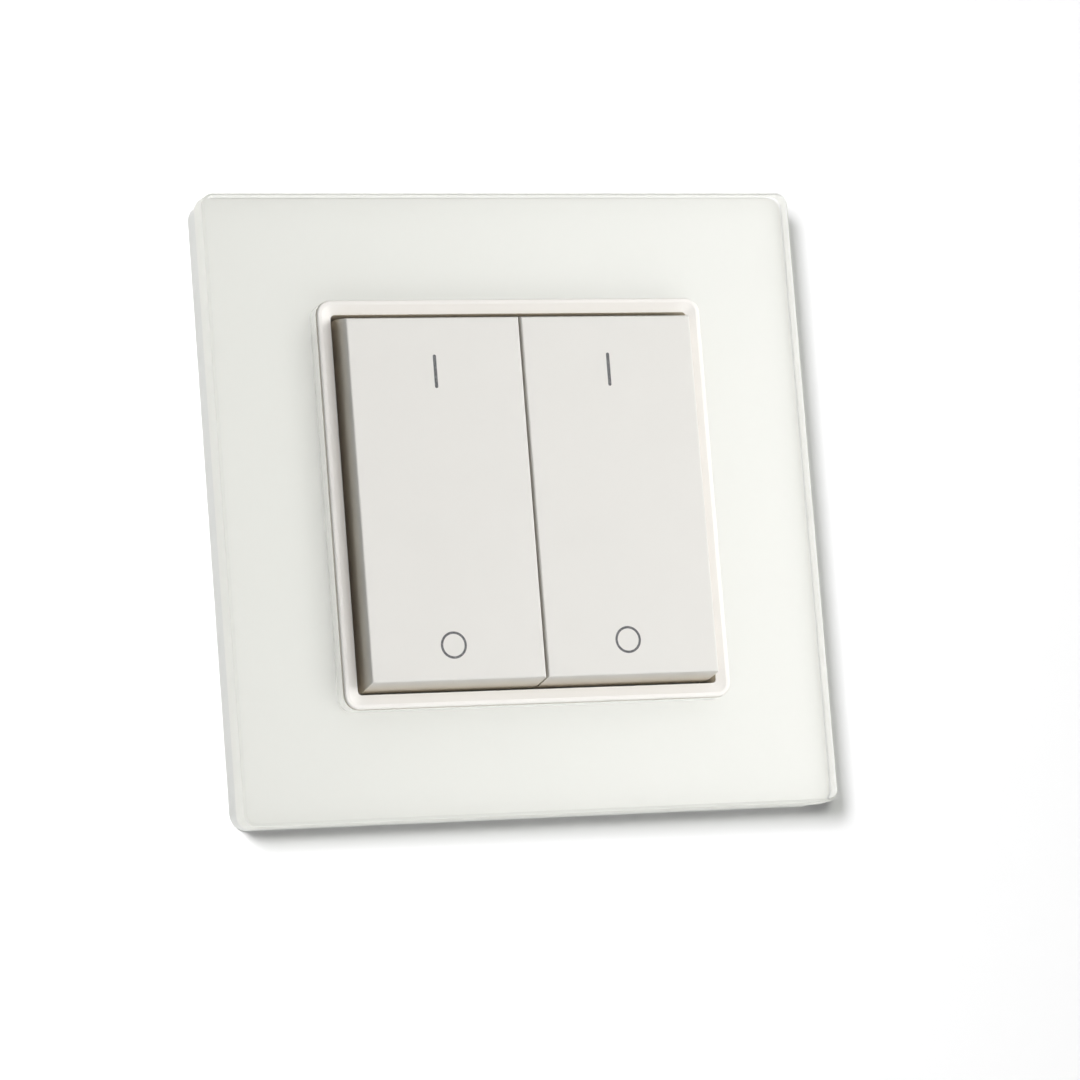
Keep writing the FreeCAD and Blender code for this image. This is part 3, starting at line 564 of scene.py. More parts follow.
def surface_object(name: str, points: np.ndarray, closed_along: bool,
                   closed_across: bool) -> bpy.types.Object:
    """Makes a piece from a grid of points.

    Each cell of the grid becomes one four-sided face, whose corners are the cell's own
    point and the next ones along and across. Points in one place, as at a pole, are
    merged, and the faces are then turned to point outwards.

    Args:
        name: The piece's name.
        points: Places in millimetres, shaped (along, across, 3).
        closed_along: Whether the last row joins the first.
        closed_across: Whether the last column joins the first.

    Returns:
        The new object, at the origin, with its place in its mesh.
    """
    rows, columns = points.shape[:2]
    i, j = np.meshgrid(np.arange(rows if closed_along else rows - 1),
                       np.arange(columns if closed_across else columns - 1), indexing="ij")
    after_i, after_j = (i + 1) % rows, (j + 1) % columns
    corners = [i * columns + j, after_i * columns + j,
               after_i * columns + after_j, i * columns + after_j]
    faces = np.stack(corners, axis=-1).reshape(-1, 4)
    mesh = bpy.data.meshes.new(name)
    mesh.from_pydata((points.reshape(-1, 3) * MM).tolist(), [], faces.tolist())
    body = bmesh.new()
    body.from_mesh(mesh)
    bmesh.ops.remove_doubles(body, verts=body.verts, dist=WELD_MM * MM)
    bmesh.ops.recalc_face_normals(body, faces=body.faces)
    body.to_mesh(mesh)
    body.free()
    mesh.polygons.foreach_set("use_smooth", np.ones(len(mesh.polygons), bool))
    mesh.set_sharp_from_angle(angle=SMOOTH_UNDER)
    piece = bpy.data.objects.new(name, mesh)
    bpy.context.scene.collection.objects.link(piece)
    return piece


def rounded(corners: np.ndarray, radii: np.ndarray, steps: int, hold: float) -> np.ndarray:
    """A closed polygon with its corners rounded.

    Each corner becomes an arc that touches both of its sides: the arc's start, plus the
    radius times the sine of the turn along the first side, plus the radius times one
    less its cosine square to it. A point a little way before and after the arc keeps
    the flat sides flat when the surface is shaded smooth.

    Args:
        corners: The polygon's corners in turn, shaped (..., k, 2).
        radii: The radius at each corner, shaped (..., k) or less.
        steps: Points in each arc.
        hold: How far the extra points are from the arc.

    Returns:
        The outline's points, shaped (..., k * (steps + 2), 2).
    """
    way_in = corners - np.roll(corners, 1, axis=-2)
    way_in = way_in / np.linalg.norm(way_in, axis=-1, keepdims=True)
    way_out = np.roll(way_in, -1, axis=-2)
    cosine = (way_in * way_out).sum(axis=-1, keepdims=True)
    bend = np.arccos(np.clip(cosine, -1, 1))
    inward = (way_out - cosine * way_in) / np.sin(bend)
    radius = np.broadcast_to(radii, corners.shape[:-1])[..., None]
    reach = radius * np.tan(bend / 2)
    start = corners - way_in * reach
    turn = bend[..., None] * np.linspace(0, 1, steps)[:, None]
    arc = (start[..., None, :] + radius[..., None] * np.sin(turn) * way_in[..., None, :]
           + radius[..., None] * (1 - np.cos(turn)) * inward[..., None, :])
    before = (start - way_in * hold)[..., None, :]
    after = (corners + way_out * (reach + hold))[..., None, :]
    points = np.concatenate([before, arc, after], axis=-2)
    return points.reshape(*corners.shape[:-2], -1, 2)


def square_ring(section: np.ndarray, rounding: np.ndarray, plan: np.ndarray) -> np.ndarray:
    """A ring whose section is carried round a square with round corners.

    The section is a closed polygon of distances from the middle and heights above the
    wall. Each of its points goes round a square that is as far from the middle as the
    point is, and whose corners grow and shrink with it, so that the ring's width stays
    the same round its corners.

    Args:
        section: The section's corners, as distance and height, shaped (k, 2).
        rounding: The radius at each of them, shaped (k,).
        plan: The plan's corner radius at each of them, shaped (k,).

    Returns:
        The grid of points, shaped (rows, columns, 3).
    """
    rows = rounded(section, rounding, ARRIS_STEPS, HOLD)
    steps = ARRIS_STEPS + 2
    bend = np.repeat(plan - section[:, 0], steps) + rows[:, 0]
    square = np.array([[1.0, -1.0], [1.0, 1.0], [-1.0, 1.0], [-1.0, -1.0]])
    loops = rounded(rows[:, :1, None] * square, bend[:, None], CORNER_STEPS, HOLD)
    depth = np.broadcast_to(-rows[:, 1:, None], (*loops.shape[:2], 1))
    return np.concatenate([loops[..., :1], depth, loops[..., 1:]], axis=-1)


def carried(profile: np.ndarray, path: np.ndarray, across: np.ndarray,
            out: np.ndarray) -> np.ndarray:
    """Carries a profile along a path.

    A point is the path's point, plus the profile's first value times the vector
    across, plus its second value times the vector out.

    Args:
        profile: The profile's pairs of values, shaped (m, 2).
        path: The path's points, shaped (n, 3).
        across: The vector for the first value at each point, shaped (n, 3), or one.
        out: The vector for the second value at each point, shaped (n, 3), or one.

    Returns:
        The grid of points, shaped (n, m, 3).
    """
    first = profile[None, :, :1] * np.atleast_2d(across)[:, None, :]
    second = profile[None, :, 1:] * np.atleast_2d(out)[:, None, :]
    return path[:, None, :] + first + second


def soft_oval(half_width: float, half_height: float, turn: np.ndarray, squareness: float
              ) -> np.ndarray:
    """A box section with soft corners.

    It is the cosine and the sine of the turn, each with its sign and raised to the
    power 2 over the squareness, times the half width and the half height.

    Args:
        half_width: Half of the section's width.
        half_height: Half of the section's height.
        turn: Angles in radians, shaped (m,).
        squareness: 2 for an oval, and more for fuller corners.

    Returns:
        The section's points, shaped (m, 2).
    """
    waves = np.stack([np.cos(turn), np.sin(turn)], axis=-1)
    eased = np.sign(waves) * np.abs(waves) ** (2 / squareness)
    return eased * [half_width, half_height]


def full_turn(count: int) -> np.ndarray:
    """Evenly spaced angles once round, without the last, which is the first."""
    return np.linspace(0, 2 * math.pi, count, endpoint=False)


def box_mm(node: str) -> tuple[np.ndarray, ...]:
    """A CAD node's lowest and highest corner at rest, in millimetres."""
    return tuple(np.array(corner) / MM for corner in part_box(node))


def capped_rows(grid: np.ndarray) -> np.ndarray:
    """Closes both ends of a tube with a row that lies at the middle of its last one.

    Args:
        grid: The tube's points, shaped (n, m, 3).

    Returns:
        The points with two more rows, shaped (n + 2, m, 3).
    """
    first, last = (np.broadcast_to(row.mean(axis=1, keepdims=True), row.shape)
                   for row in (grid[:1], grid[-1:]))
    return np.concatenate([first, grid, last])


def bent_path(corners: np.ndarray, bend: float, steps: int) -> np.ndarray:
    """A wire's centre line through square corners with round bends.

    In a bend the point is the corner, less the way in times the bend radius times
    (1 - sine), plus the way out times the bend radius times (1 - cosine).

    Args:
        corners: The ends and corners of the line, shaped (k, 3).
        bend: Radius of each bend.
        steps: Points in each bend.

    Returns:
        The points along the line, shaped (n, 3).
    """
    turn = np.linspace(0, math.pi / 2, steps)[:, None]
    ways = np.diff(corners, axis=0)
    ways = ways / np.linalg.norm(ways, axis=1, keepdims=True)
    bends = [corner - way_in * bend * (1 - np.sin(turn)) + way_out * bend * (1 - np.cos(turn))
             for corner, way_in, way_out in zip(corners[1:-1], ways[:-1], ways[1:])]
    return np.concatenate([corners[:1], *bends, corners[-1:]])


# Sub-assemblies


@dataclass
class Assembly:
    """What every sub-assembly shares: the body that carries it and its pieces."""

    body: str = "base"
    made: list[str] = field(default_factory=list)

    def dress(self, material: bpy.types.Material, *nodes: str) -> None:
        """Gives CAD nodes their material.

        Args:
            material: The finished material.
            nodes: The nodes' names.
        """
        for node in nodes:
            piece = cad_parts[node]
            piece.data.materials.clear()
            piece.data.materials.append(material)
            self.made.append(node)

    def fit(self, piece: bpy.types.Object, material: bpy.types.Material, slot: str,
            *replaced: str) -> None:
        """Gives a new piece its material, and hides the nodes that it stands for.

        Args:
            piece: The new piece.
            material: The finished material.
            slot: Not used.
            replaced: Names of the CAD nodes that it replaces.
        """
        piece.data.materials.append(material)
        if replaced:
            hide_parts(*replaced)
        self.made.append(piece.name)


@dataclass
class CoverFrame(Assembly):
    """The glass cover, the white print on its back, and the moulded carrier."""

    glass: ClearGlass = ClearGlass("clear_glass", (0.7, 0.95, 0.75), 2.5)
    print_white: Moulded = Moulded("white_print", screen_colour(230, 230, 224), 0.6,
                                   cloud_mm=14, cloud_share=0.01)
    carrier: Moulded = Moulded("carrier_plastic", screen_colour(236, 237, 233), 0.35)
    plan_corner: float = 1.7
    window_half: float = 27.53
    window_corner: float = 2.03
    front_arris: float = 0.4
    back_arris: float = 0.25
    window_arris: float = 0.02
    print_arris: float = 0.02
    print_overhang: float = 0.015
    sunk: float = 0.03

    def build(self) -> None:
        """Makes the glass and its print, and dresses the carrier."""
        plate = surface_object("cover_plate", self.plate(), True, True)
        self.fit(plate, self.glass.material(), "clear_glass", "cover_glass")
        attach(plate, self.body)
        white = surface_object("back_print", self.back_print(), True, True)
        self.fit(white, self.print_white.material(), "white_sheet", "glass_bonding_sheet")
        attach(white, self.body)
        self.dress(self.carrier.material(), "frame_carrier")

    def plate(self) -> np.ndarray:
        """The glass: a plate with a square window and rounded arrises.

        Its back lies a trace inside the print, as the print is on the glass itself,
        and its window closes on the rim.

        Returns:
            The grid of points.
        """
        low, high = box_mm("cover_glass")
        rounding = np.array([self.back_arris, self.front_arris, self.window_arris,
                             self.window_arris])
        return self.ring(high[0], self.window_half, -low[1], -high[1] - self.sunk, rounding)

    def back_print(self) -> np.ndarray:
        """The white print with its glue: a thin ring that reaches the back's arrises.

        Returns:
            The grid of points.
        """
        low, high = box_mm("glass_bonding_sheet")
        outer = box_mm("cover_glass")[1][0] - self.back_arris
        window = self.window_half - self.print_overhang
        return self.ring(outer, window, -low[1], -high[1], np.full(4, self.print_arris))

    def ring(self, outer: float, window: float, front: float, back: float,
             rounding: np.ndarray) -> np.ndarray:
        """A square plate with a square window, both with the cover's corners.

        Args:
            outer: Half of the plate's side.
            window: Half of the window's side.
            front: The front's height above the wall.
            back: The back's height above the wall.
            rounding: The radii at outer back, outer front, window front, window back.

        Returns:
            The grid of points.
        """
        section = np.array([[outer, back], [outer, front], [window, front], [window, back]])
        plan = np.repeat([self.plan_corner, self.window_corner], 2)
        return square_ring(section, rounding, plan)


@dataclass
class InnerRim(Assembly):
    """The raised rim between the glass and the buttons."""

    # The rim's walls get painted warm shade in the gaps beside it.
    finish: Moulded = Moulded("rim_plastic", screen_colour(254, 251, 246), 0.4,
                              painted_gap_shade=(1.0, 0.96, 0.89))

    def build(self) -> None:
        """Dresses the rim."""
        self.dress(self.finish.material(), "intermediate_frame")


@dataclass
class Button(Assembly):
    """One rocking button with its printed marks."""

    side: Side = Side.RIGHT
    # The button's walls get painted warm shade, deeper in the gaps round it.
    finish: Moulded = Moulded("rocker_plastic", screen_colour(231, 229, 224), 0.45,
                              painted_gap_shade=(1.0, 0.94, 0.84))
    ink: Ink = Ink("mark_ink", screen_colour(84, 84, 86), screen_colour(140, 140, 140))
    stroke_length: float = 4.55
    stroke_width: float = 0.46
    stroke_height: float = 17.1
    stroke_shift: float = -0.15
    ring_radius: float = 1.66
    ring_width: float = 0.33
    ring_height: float = -19.72
    ring_shift: float = -0.5
    film: float = 0.015

    def __post_init__(self) -> None:
        """Sets the body from the side."""
        self.body = f"{self.side.word}_rocker"

    def build(self) -> None:
        """Dresses the button and prints both marks on it."""
        self.dress(self.finish.material(), self.body)
        low, high = box_mm(self.body)
        face = np.array([(low[0] + high[0]) / 2, low[1], 0.0])
        ink = self.ink.material()
        for mark, points in ((Mark.STROKE, self.stroke(face)), (Mark.RING, self.ring(face))):
            piece = surface_object(f"{self.side.word}_{mark.value}", points, True,
                                   mark is Mark.RING)
            self.fit(piece, ink, "chip_black")
            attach(piece, self.body)

    def stroke(self, face: np.ndarray) -> np.ndarray:
        """The on mark: half a soft oval carried round a bar with round ends.

        The path is the bar's middle line, gone along once on each side, and the
        vector across turns once round while the path passes each end.

        Args:
            face: The middle of the button's face.

        Returns:
            The grid of points.
        """
        turn = full_turn(MARK_STEPS)
        reach = (self.stroke_length - self.stroke_width) / 2
        ends = reach * np.sign(np.sin(turn + TINY))[:, None]
        path = face + [self.stroke_shift, 0, self.stroke_height] + ends * UPWARD
        half = soft_oval(self.stroke_width / 2, self.film,
                         np.linspace(-math.pi / 2, math.pi / 2, SECTION_STEPS), squareness=4)
        return carried(half, path, self.round_about(turn), -TO_WALL)

    def ring(self, face: np.ndarray) -> np.ndarray:
        """The off mark: a soft oval carried round a circle.

        Args:
            face: The middle of the button's face.

        Returns:
            The grid of points.
        """
        across = self.round_about(full_turn(MARK_STEPS))
        path = face + [self.ring_shift, 0, self.ring_height] + across * self.ring_radius
        section = soft_oval(self.ring_width / 2, self.film, full_turn(SECTION_STEPS),
                            squareness=4)
        return carried(section, path, across, -TO_WALL)

    def round_about(self, turn: np.ndarray) -> np.ndarray:
        """The way out on the face at each turn: its cosine to the right, its sine up."""
        return np.cos(turn)[:, None] * TO_RIGHT + np.sin(turn)[:, None] * UPWARD


@dataclass
class Generator(Assembly):
    """One rocking generator: lever, magnet, pole plates, core, coil and spring."""

    side: Side = Side.RIGHT
    plastic: Moulded = Moulded("lever_plastic", (0.03, 0.03, 0.033), 0.5, cloud_share=0.2)
    iron: Metal = Metal("soft_iron", (0.42, 0.42, 0.44), 0.42)
    nickel: Metal = Metal("magnet_nickel", (0.72, 0.7, 0.66), 0.2, line_mm=0.3,
                          stretch=(1.0, 1.0, 1.0))
    steel: Metal = Metal("spring_steel", (0.62, 0.62, 0.63), 0.25)
    spool: Moulded = Moulded("bobbin_plastic", (0.8, 0.76, 0.66), 0.5)
    wire: EnamelledWire = EnamelledWire("copper_winding", (0.75, 0.33, 0.16))
    tinned: Metal = Metal("tinned_lead", (0.74, 0.73, 0.7), 0.3)
    tube_across: float = 1.55
    tube_depth: float = 0.95
    turns: int = 26
    ripple: float = 0.04

    def __post_init__(self) -> None:
        """Sets the body from the side."""
        self.body = f"{self.side.word}_lever"

    def build(self) -> None:
        """Dresses the nodes, winds the coil and makes the leaf spring."""
        word = self.side.word
        self.dress(self.plastic.material(), f"{word}_energy_lever")
        self.dress(self.nickel.material(), f"{word}_magnet")
        self.dress(self.iron.material(), f"{word}_iron_core", f"{word}_upper_pole_plate",
                   f"{word}_lower_pole_plate")
        self.dress(self.spool.material(), f"{word}_coil_bobbin")
        self.dress(self.tinned.material(), f"{word}_coil_leads")
        coil = surface_object(f"{word}_wound_coil", self.winding(), True, True)
        self.fit(coil, self.wire.material(), "copper", f"{word}_coil_winding")
        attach(coil, "base")
        self.spring()

    def winding(self) -> np.ndarray:
        """The coil: turns of wire round the spool, between its flanges.

        The path is the spool's tube. Across leads from it to a square with round
        corners, and the profile is a box whose outer side waves once for each turn,
        half a wave later on each side of the coil, so that the turns climb.

        Returns:
            The grid of points.
        """
        low, high = box_mm(f"{self.side.word}_coil_winding")
        half_out, _, half_long = (high - low) / 2
        turn = full_turn(COIL_STEPS)
        inner = soft_oval(self.tube_across, self.tube_depth, turn, squareness=12)
        outer = soft_oval(half_out, half_out, turn, squareness=5)
        along = np.linspace(-half_long, half_long, self.turns * WAVE_STEPS)
        phase = math.pi * self.turns * (along / half_long)
        wave = 1 - self.ripple * (1 + np.cos(phase[None, :] + turn[:, None])) / 2
        skin = inner[:, None, :] + (outer - inner)[:, None, :] * wave[:, :, None]
        tube = np.broadcast_to(inner[:, None, :], skin.shape)
        flat = np.concatenate([skin, tube[:, ::-1]], axis=1)
        height = np.concatenate([along, along[::-1]])
        height = np.broadcast_to(height[None, :, None], (*flat.shape[:2], 1))
        return (low + high) / 2 + np.concatenate([flat, height], axis=2)

    def spring(self) -> None:
        """Makes the leaf spring, which is held by the tray.

        A box section with soft corners is carried in even steps along the leaf.
        """
        node = f"{self.side.word}_return_spring"
        low, high = box_mm(node)
        middle, half = (low + high) / 2, (high - low) / 2
        path = np.tile(middle, (LEAF_STEPS, 1))
        path[:, 2] = np.linspace(low[2], high[2], LEAF_STEPS)
        section = soft_oval(half[0], half[1], full_turn(SECTION_STEPS * 2), squareness=8)
        grid = capped_rows(carried(section, path, TO_RIGHT, TO_WALL))
        leaf = surface_object(f"{self.side.word}_leaf_spring", grid, False, True)
        self.fit(leaf, self.steel.material(), "steel", node)
        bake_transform(leaf)


@dataclass
class Circuit(Assembly):
    """The circuit board, what stands on it, and the antenna."""

    lacquer: Lacquer = Lacquer("board_lacquer", (0.03, 0.17, 0.07))
    can: Metal = Metal("tin_can", (0.76, 0.76, 0.74), 0.28)
    resin: Moulded = Moulded("chip_resin", (0.02, 0.02, 0.022), 0.55, cloud_share=0.2)
    capacitor: Capped = Capped("capacitor_ceramic", (0.45, 0.3, 0.14), (0.74, 0.73, 0.7),
                               Axis.ACROSS, 10.1, 1.25)
    wire: EnamelledWire = EnamelledWire("antenna_wire", (0.78, 0.4, 0.22))
    antenna_radius: float = 0.35
    antenna_bend: float = 1.6

    def build(self) -> None:
        """Dresses the board's pieces and bends the antenna."""
        self.dress(self.lacquer.material(), "circuit_board")
        self.dress(self.can.material(), "radio_shield", "quartz_crystal")
        self.dress(self.resin.material(), "radio_chip", "rectifier_diodes")
        self.dress(self.capacitor.material(), "storage_capacitors")
        antenna = surface_object("bent_antenna", self.antenna(), False, True)
        self.fit(antenna, self.wire.material(), "copper", "wire_antenna")
        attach(antenna, self.body)

    def antenna(self) -> np.ndarray:
        """A round wire with round bends: up from the board, then round the module.

        A circle is carried along the bent centre line. The vector across is square
        to the line and to a fixed slant, and the vector out is square to both.

        Returns:
            The grid of points.
        """
        low, high = box_mm("wire_antenna")
        inset = self.antenna_radius
        left, front, foot = low + inset
        right, _, top = high - inset
        corners = np.array([[left, high[1], foot], [left, front, foot],
                            [left, front, top], [right, front, top], [right, front, foot]])
        path = bent_path(corners, self.antenna_bend, BEND_STEPS)
        heading = np.gradient(path, axis=0)
        across = np.cross(heading, SLANT)
        across /= np.linalg.norm(across, axis=1, keepdims=True)
        out = np.cross(heading, across)
        out /= np.linalg.norm(out, axis=1, keepdims=True)
        section = soft_oval(inset, inset, full_turn(SECTION_STEPS), squareness=2)
        return capped_rows(carried(section, path, across, out))


@dataclass
class RadioModule(Assembly):
    """The module's two shells and the pin that its levers rock on."""

    shell: Moulded = Moulded("module_plastic", screen_colour(214, 215, 213), 0.5)
    steel: Metal = Metal("pin_steel", (0.64, 0.64, 0.65), 0.2)

    def build(self) -> None:
        """Dresses the shells and the pin."""
        self.dress(self.shell.material(), "module_tray", "module_cover")
        self.dress(self.steel.material(), "pivot_pin")


@dataclass
class WallPlate(Assembly):
    """The mounting plate and the adhesive pads in its back."""

    plastic: Moulded = Moulded("plate_plastic", screen_colour(150, 151, 149), 0.5,
                               grain_mm=0.25)
    foam: Foam = Foam("pad_foam", screen_colour(228, 228, 220))

    def build(self) -> None:
        """Dresses the plate and its pads."""
        self.dress(self.plastic.material(), "mounting_plate")
        self.dress(self.foam.material(), "adhesive_pads")


# The studio


def direction(azimuth: float, elevation: float) -> Vector:
    """A way from the switch's middle into the room.

    Args:
        azimuth: Degrees to the right, seen from the front.
        elevation: Degrees up.

    Returns:
        The way, of length 1.
    """
    turn, lift = math.radians(azimuth), math.radians(elevation)
    return Vector((math.sin(turn) * math.cos(lift), -math.cos(turn) * math.cos(lift),
                   math.sin(lift)))


@dataclass(frozen=True)
class Softbox:
    """A soft lamp that shines at the switch from a rectangle.

    Turns are in degrees and lengths in metres.
    """

    name: str
    azimuth: float
    elevation: float
    width: float
    height: float
    level: float
    distance: float = 0.9
    under_floor: bool = False

    def place(self, index: float = 1.0) -> bpy.types.Object:
        """Sets up the lamp. At level 1 a white surface that faces it shows as white.

        Args:
            index: 1 in air. For light on what lies under glass it is the glass's index,
                and the light comes steeper, as the glass bends it.

        Returns:
            The lamp, which no mirror and no glass shows.
        """
        air = direction(self.azimuth, self.elevation)
        way = Vector((air.x / index, 0, air.z / index))
        way.y = math.copysign(math.sqrt(1 - way.length_squared), air.y)
        name = self.name if index == 1 else self.name + "_under_glass"
        lamp = bpy.data.lights.new(name, "AREA")
        lamp.shape = "RECTANGLE"
        lamp.size, lamp.size_y = self.width, self.height
        lamp.energy = math.pi ** 2 * self.distance ** 2 * self.level * air.y / way.y
        holder = bpy.data.objects.new(name, lamp)
        bpy.context.scene.collection.objects.link(holder)
        holder.location = way * self.distance
        holder.rotation_mode = "QUATERNION"
        holder.rotation_quaternion = way.to_track_quat("Z", "Y")
        holder.visible_glossy = holder.visible_transmission = False
        return holder


def group_of(name: str, members: tuple[bpy.types.Object, ...], inside: bool
             ) -> bpy.types.Collection:
    """A group that a lamp is limited to, or that it leaves out.

    Args:
        name: The group's name.
        members: Its objects.
        inside: True where the lamp is limited to them.

    Returns:
        The group.
    """
    group = bpy.data.collections.new(name)
    for member in members:
        group.objects.link(member)
    for entry in group.collection_objects:
        entry.light_linking.link_state = "INCLUDE" if inside else "EXCLUDE"
    return group


def limit(lamp: bpy.types.Object, members: tuple[bpy.types.Object, ...], inside: bool,
          passed: tuple[bpy.types.Object, ...] = ()) -> None:
    """Limits what a lamp lights and what casts shadows in its light.

    Args:
        lamp: The lamp.
        members: What it is limited to, or leaves out.
        inside: True where it is limited to them.
        passed: What it shines through.
    """
    linking = lamp.light_linking
    linking.receiver_collection = group_of(f"{lamp.name}_lights", members, inside)
    if passed:
        linking.blocker_collection = group_of(f"{lamp.name}_passes", passed, False)


@dataclass
class Studio:
    """Pale wall and floor, soft lamps, white surroundings and the camera.

    Lengths are in millimetres, and turns in degrees.
    """

    wall_gap: float = 0.05
    wall_reach: float = 900.0
    hole_reach: float = 41.5
    floor_drop: float = 260.0
    floor_reach: float = 1500.0
    wall_paint: float = screen_colour(238, 238, 238)[0]
    floor_paint: float = screen_colour(190, 190, 190)[0]
    bounce: float = screen_colour(150, 150, 150)[0]
    floor_glow: float = 0.92
    floor_kept: float = 0.08
    surroundings: float = 0.15
    mirrored_way: tuple[float, float] = (44.0, 7.0)
    mirrored_reach: float = 30.0
    mirrored_core: float = 10.0
    mirrored_level: float = 4.7
    softboxes: tuple[Softbox, ...] = (
        Softbox("right_softbox", 45, 2, 0.5, 0.6, 0.44),
        Softbox("front_softbox", 18, -13, 0.4, 0.45, 0.49),
        Softbox("top_softbox", 0, 60, 0.7, 0.6, 0.18),
        Softbox("low_softbox", 10, -60, 0.6, 0.5, 0.19, under_floor=True))
    wall_softbox: Softbox = Softbox("wall_softbox", -30, 11, 0.2, 0.3, 1.34)
    back_softbox: Softbox = Softbox("back_softbox", 180, 0, 0.5, 0.5, 0.7, 1.2)
    turn: float = 20.94
    nod: float = -8.13
    roll: float = 4.51
    offset: tuple[float, float, float] = (-2.1, 5.3, -708.2)
    glass_front: float = 7.8
    focal_pixels: float = 5279.0
    nearest_seen: float = 50.0
    farthest_seen: float = 20000.0

    def build(self) -> None:
        """Sets up everything round the switch."""
        self.world()
        self.lamps(self.wall(), self.floor())
        self.camera()
        bpy.context.scene.view_settings.view_transform = "Standard"

    def wall(self) -> bpy.types.Object:
        """The wall that the switch is on.

        It is open right behind the switch, where it can't be seen from the front,
        and it shows only its front, so that the switch's back can be looked at.

        Returns:
            The wall.
        """
        flat = np.stack([SQUARE * self.wall_reach, SQUARE * self.hole_reach])
        flat[0, :2, 1] = -self.floor_drop
        depth = np.full((2, 4, 1), self.wall_gap)
        points = np.concatenate([flat[:, :, :1], depth, flat[:, :, 1:]], axis=2)
        faces = [(k, (k + 1) % 4, (k + 1) % 4 + 4, k + 4) for k in range(4)]
        paint = self.one_sided_paint("wall_paint", self.wall_paint, 0.0, 1.0)
        return self.stand("backdrop_wall", points.reshape(-1, 3), faces, paint)

    def floor(self) -> bpy.types.Object:
        """The floor, well below the switch. To the camera it is almost evenly pale.

        Returns:
            The floor.
        """
        depth = np.full((4, 1), -self.floor_drop)
        points = np.concatenate([SQUARE * self.floor_reach, depth], axis=1)
        paint = self.one_sided_paint("floor_paint", self.floor_paint, self.floor_glow,
                                     self.floor_kept)
        return self.stand("backdrop_floor", points, [(0, 1, 2, 3)], paint)

    def stand(self, name: str, points: np.ndarray, faces: list[tuple[int, ...]],
              paint: bpy.types.Material) -> bpy.types.Object:
        """Makes one plain surface of the surroundings.

        Args:
            name: The surface's name.
            points: Its corners in millimetres.
            faces: Its faces, by the places of their corners.
            paint: Its material.

        Returns:
            The surface.
        """
        mesh = bpy.data.meshes.new(name)
        mesh.from_pydata((points * MM).tolist(), [], faces)
        surface = bpy.data.objects.new(name, mesh)
        bpy.context.scene.collection.objects.link(surface)
        mesh.materials.append(paint)
        return surface

    def one_sided_paint(self, name: str, white: float, glow: float, kept: float
                        ) -> bpy.types.Material:
        """Pale paint that is there only from the front.

        Args:
            name: The material's name.
            white: The share of the light that it sends back.
            glow: How much it glows to the camera.
            kept: The share of its lit colour, with its shadows, that the camera sees.

        Returns:
            The finished material.
        """
        shader = Shader(name)
        seen = self.seen(shader)
        late = shader.sum("GREATER_THAN", shader.path()["Diffuse Depth"], 1)
        lit = shader.spread(late, white, self.bounce)
        hidden = shader.sum("MULTIPLY", seen, white * (1 - kept))
        paint = shader.add("BsdfDiffuse", {"Color": shader.sum("SUBTRACT", lit, hidden)})
        shine = shader.add("Emission", {"Strength": shader.sum("MULTIPLY", seen, glow)})
        both = shader.add("AddShader", {0: paint.outputs["BSDF"], 1: shine.outputs["Emission"]})
        behind = shader.add("NewGeometry").outputs["Backfacing"]
        clear = shader.add("BsdfTransparent")
        shader.show(shader.mix(behind, both, clear).outputs["Shader"])
        return shader.material

    def seen(self, shader: Shader) -> Socket:
        """1 for what the camera sees straight, in a mirror or through glass, else 0.

        Light that has touched a dull surface counts as light, whatever it passes then.

        Args:
            shader: The tree that asks.

        Returns:
            The output that carries the 1 or 0.
        """
        path = shader.path()
        both = shader.sum("MAXIMUM", path["Is Camera Ray"], path["Is Glossy Ray"])
        seen = shader.sum("MAXIMUM", both, path["Is Transmission Ray"])
        straight = shader.sum("LESS_THAN", path["Diffuse Depth"], 1)
        return shader.sum("MULTIPLY", seen, straight)

    def world(self) -> None:
        """Surroundings that light softly, show as white, and mirror a large softbox."""
        world = bpy.data.worlds.new("studio")
        bpy.context.scene.world = world
        shader = Shader("studio", world)
        way = shader.add("TexCoord").outputs["Generated"]
        aim = shader.add("VectorMath", {0: way, 1: tuple(direction(*self.mirrored_way))},
                         operation="DOT_PRODUCT")
        patch = shader.spread(aim.outputs["Value"], 0.0, self.mirrored_level,
                              start=math.cos(math.radians(self.mirrored_reach)),
                              end=math.cos(math.radians(self.mirrored_core)))
        patch.node.interpolation_type = "SMOOTHSTEP"
        mirrored = shader.sum("LESS_THAN", shader.path()["Transmission Depth"], 1)
        bright = shader.sum("ADD", shader.sum("MULTIPLY", patch, mirrored), 1.0)
        seen = self.seen(shader)
        dull = shader.sum("MULTIPLY", shader.sum("SUBTRACT", 1.0, seen), self.surroundings)
        strength = shader.sum("ADD", shader.sum("MULTIPLY", bright, seen), dull)
        back = shader.add("Background", {"Color": (*WHITE, 1), "Strength": strength})
        shader.show(back.outputs["Background"])

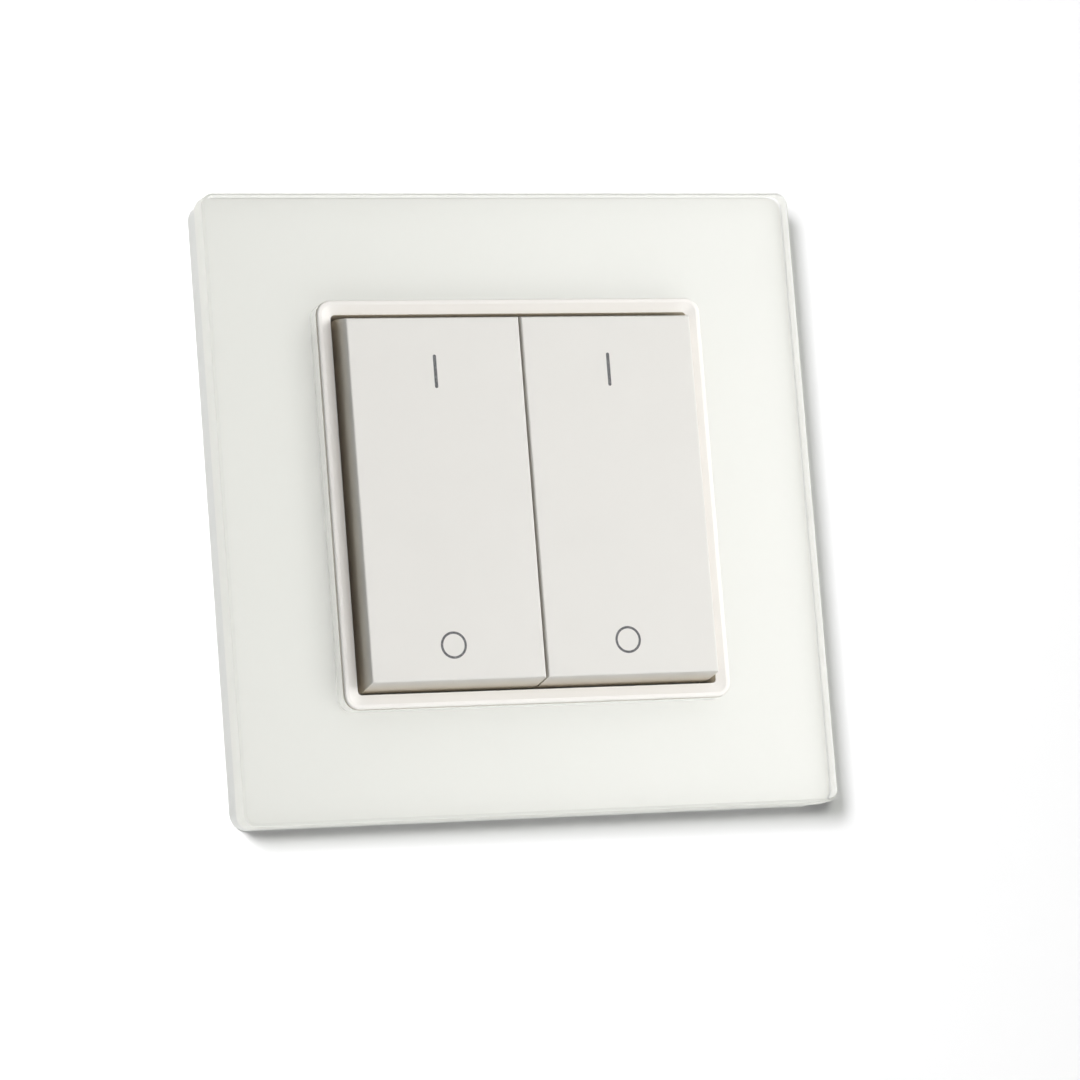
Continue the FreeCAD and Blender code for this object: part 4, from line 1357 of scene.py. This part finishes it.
    def lamps(self, wall: bpy.types.Object, floor: bpy.types.Object) -> None:
        """Four lamps for the front, one behind, and one for the wall, for its shadow.

        The print under the glass has its own copy of the four. The rim, which goes down
        through the glass, doesn't shade it, as light comes round it in the glass. A lamp
        that stands under the floor shines through it.

        Args:
            wall: The wall, which the lamps for the switch leave out.
            floor: The floor, which the lamp behind leaves out too.
        """
        printed = bpy.data.objects["back_print"]
        rim = bpy.data.objects["intermediate_frame"]
        for softbox in self.softboxes:
            under = (floor,) if softbox.under_floor else ()
            limit(softbox.place(), (wall, printed), False, under)
            limit(softbox.place(GLASS_INDEX), (printed,), True, (rim, *under))
        limit(self.back_softbox.place(), (wall, floor, printed), False, (wall,))
        limit(self.wall_softbox.place(), (wall,), True)

    def camera(self) -> None:
        """Sets the camera at the photograph's place.

        The turn, nod and roll stand the switch as the camera sees it, and the offset
        is where the middle of the glass then lies from the camera.
        """
        lens = bpy.data.cameras.new("camera")
        lens.lens = self.focal_pixels / FRAME_PIXELS * lens.sensor_width
        lens.clip_start = self.nearest_seen * MM
        lens.clip_end = self.farthest_seen * MM
        seen = (Matrix.Rotation(math.radians(self.roll), 3, "Z")
                @ Matrix.Rotation(math.radians(self.nod), 3, "X")
                @ Matrix.Rotation(math.radians(self.turn), 3, "Y"))
        upright = Matrix(((1, 0, 0), (0, 0, 1), (0, -1, 0)))
        to_camera = (seen @ upright).to_4x4()
        to_camera.translation = (seen @ Vector((0, 0, -self.glass_front))
                                 + Vector(self.offset)) * MM
        holder = bpy.data.objects.new("camera", lens)
        bpy.context.scene.collection.objects.link(holder)
        holder.matrix_world = to_camera.inverted()
        bpy.context.scene.camera = holder


def main() -> None:
    """Builds and dresses the switch in order, then sets up the studio."""
    logging.basicConfig(level=logging.INFO, format="%(name)s: %(message)s")
    parts: list[Assembly] = [CoverFrame(), InnerRim(), WallPlate(), RadioModule(), Circuit()]
    for side in Side:
        parts.append(Generator(side=side))
        parts.append(Button(side=side))
    for part in parts:
        part.build()
        for name in part.made:
            LOG.info("%s: %s", type(part).__name__, name)
    Studio().build()


if __name__ == "__main__":
    main()
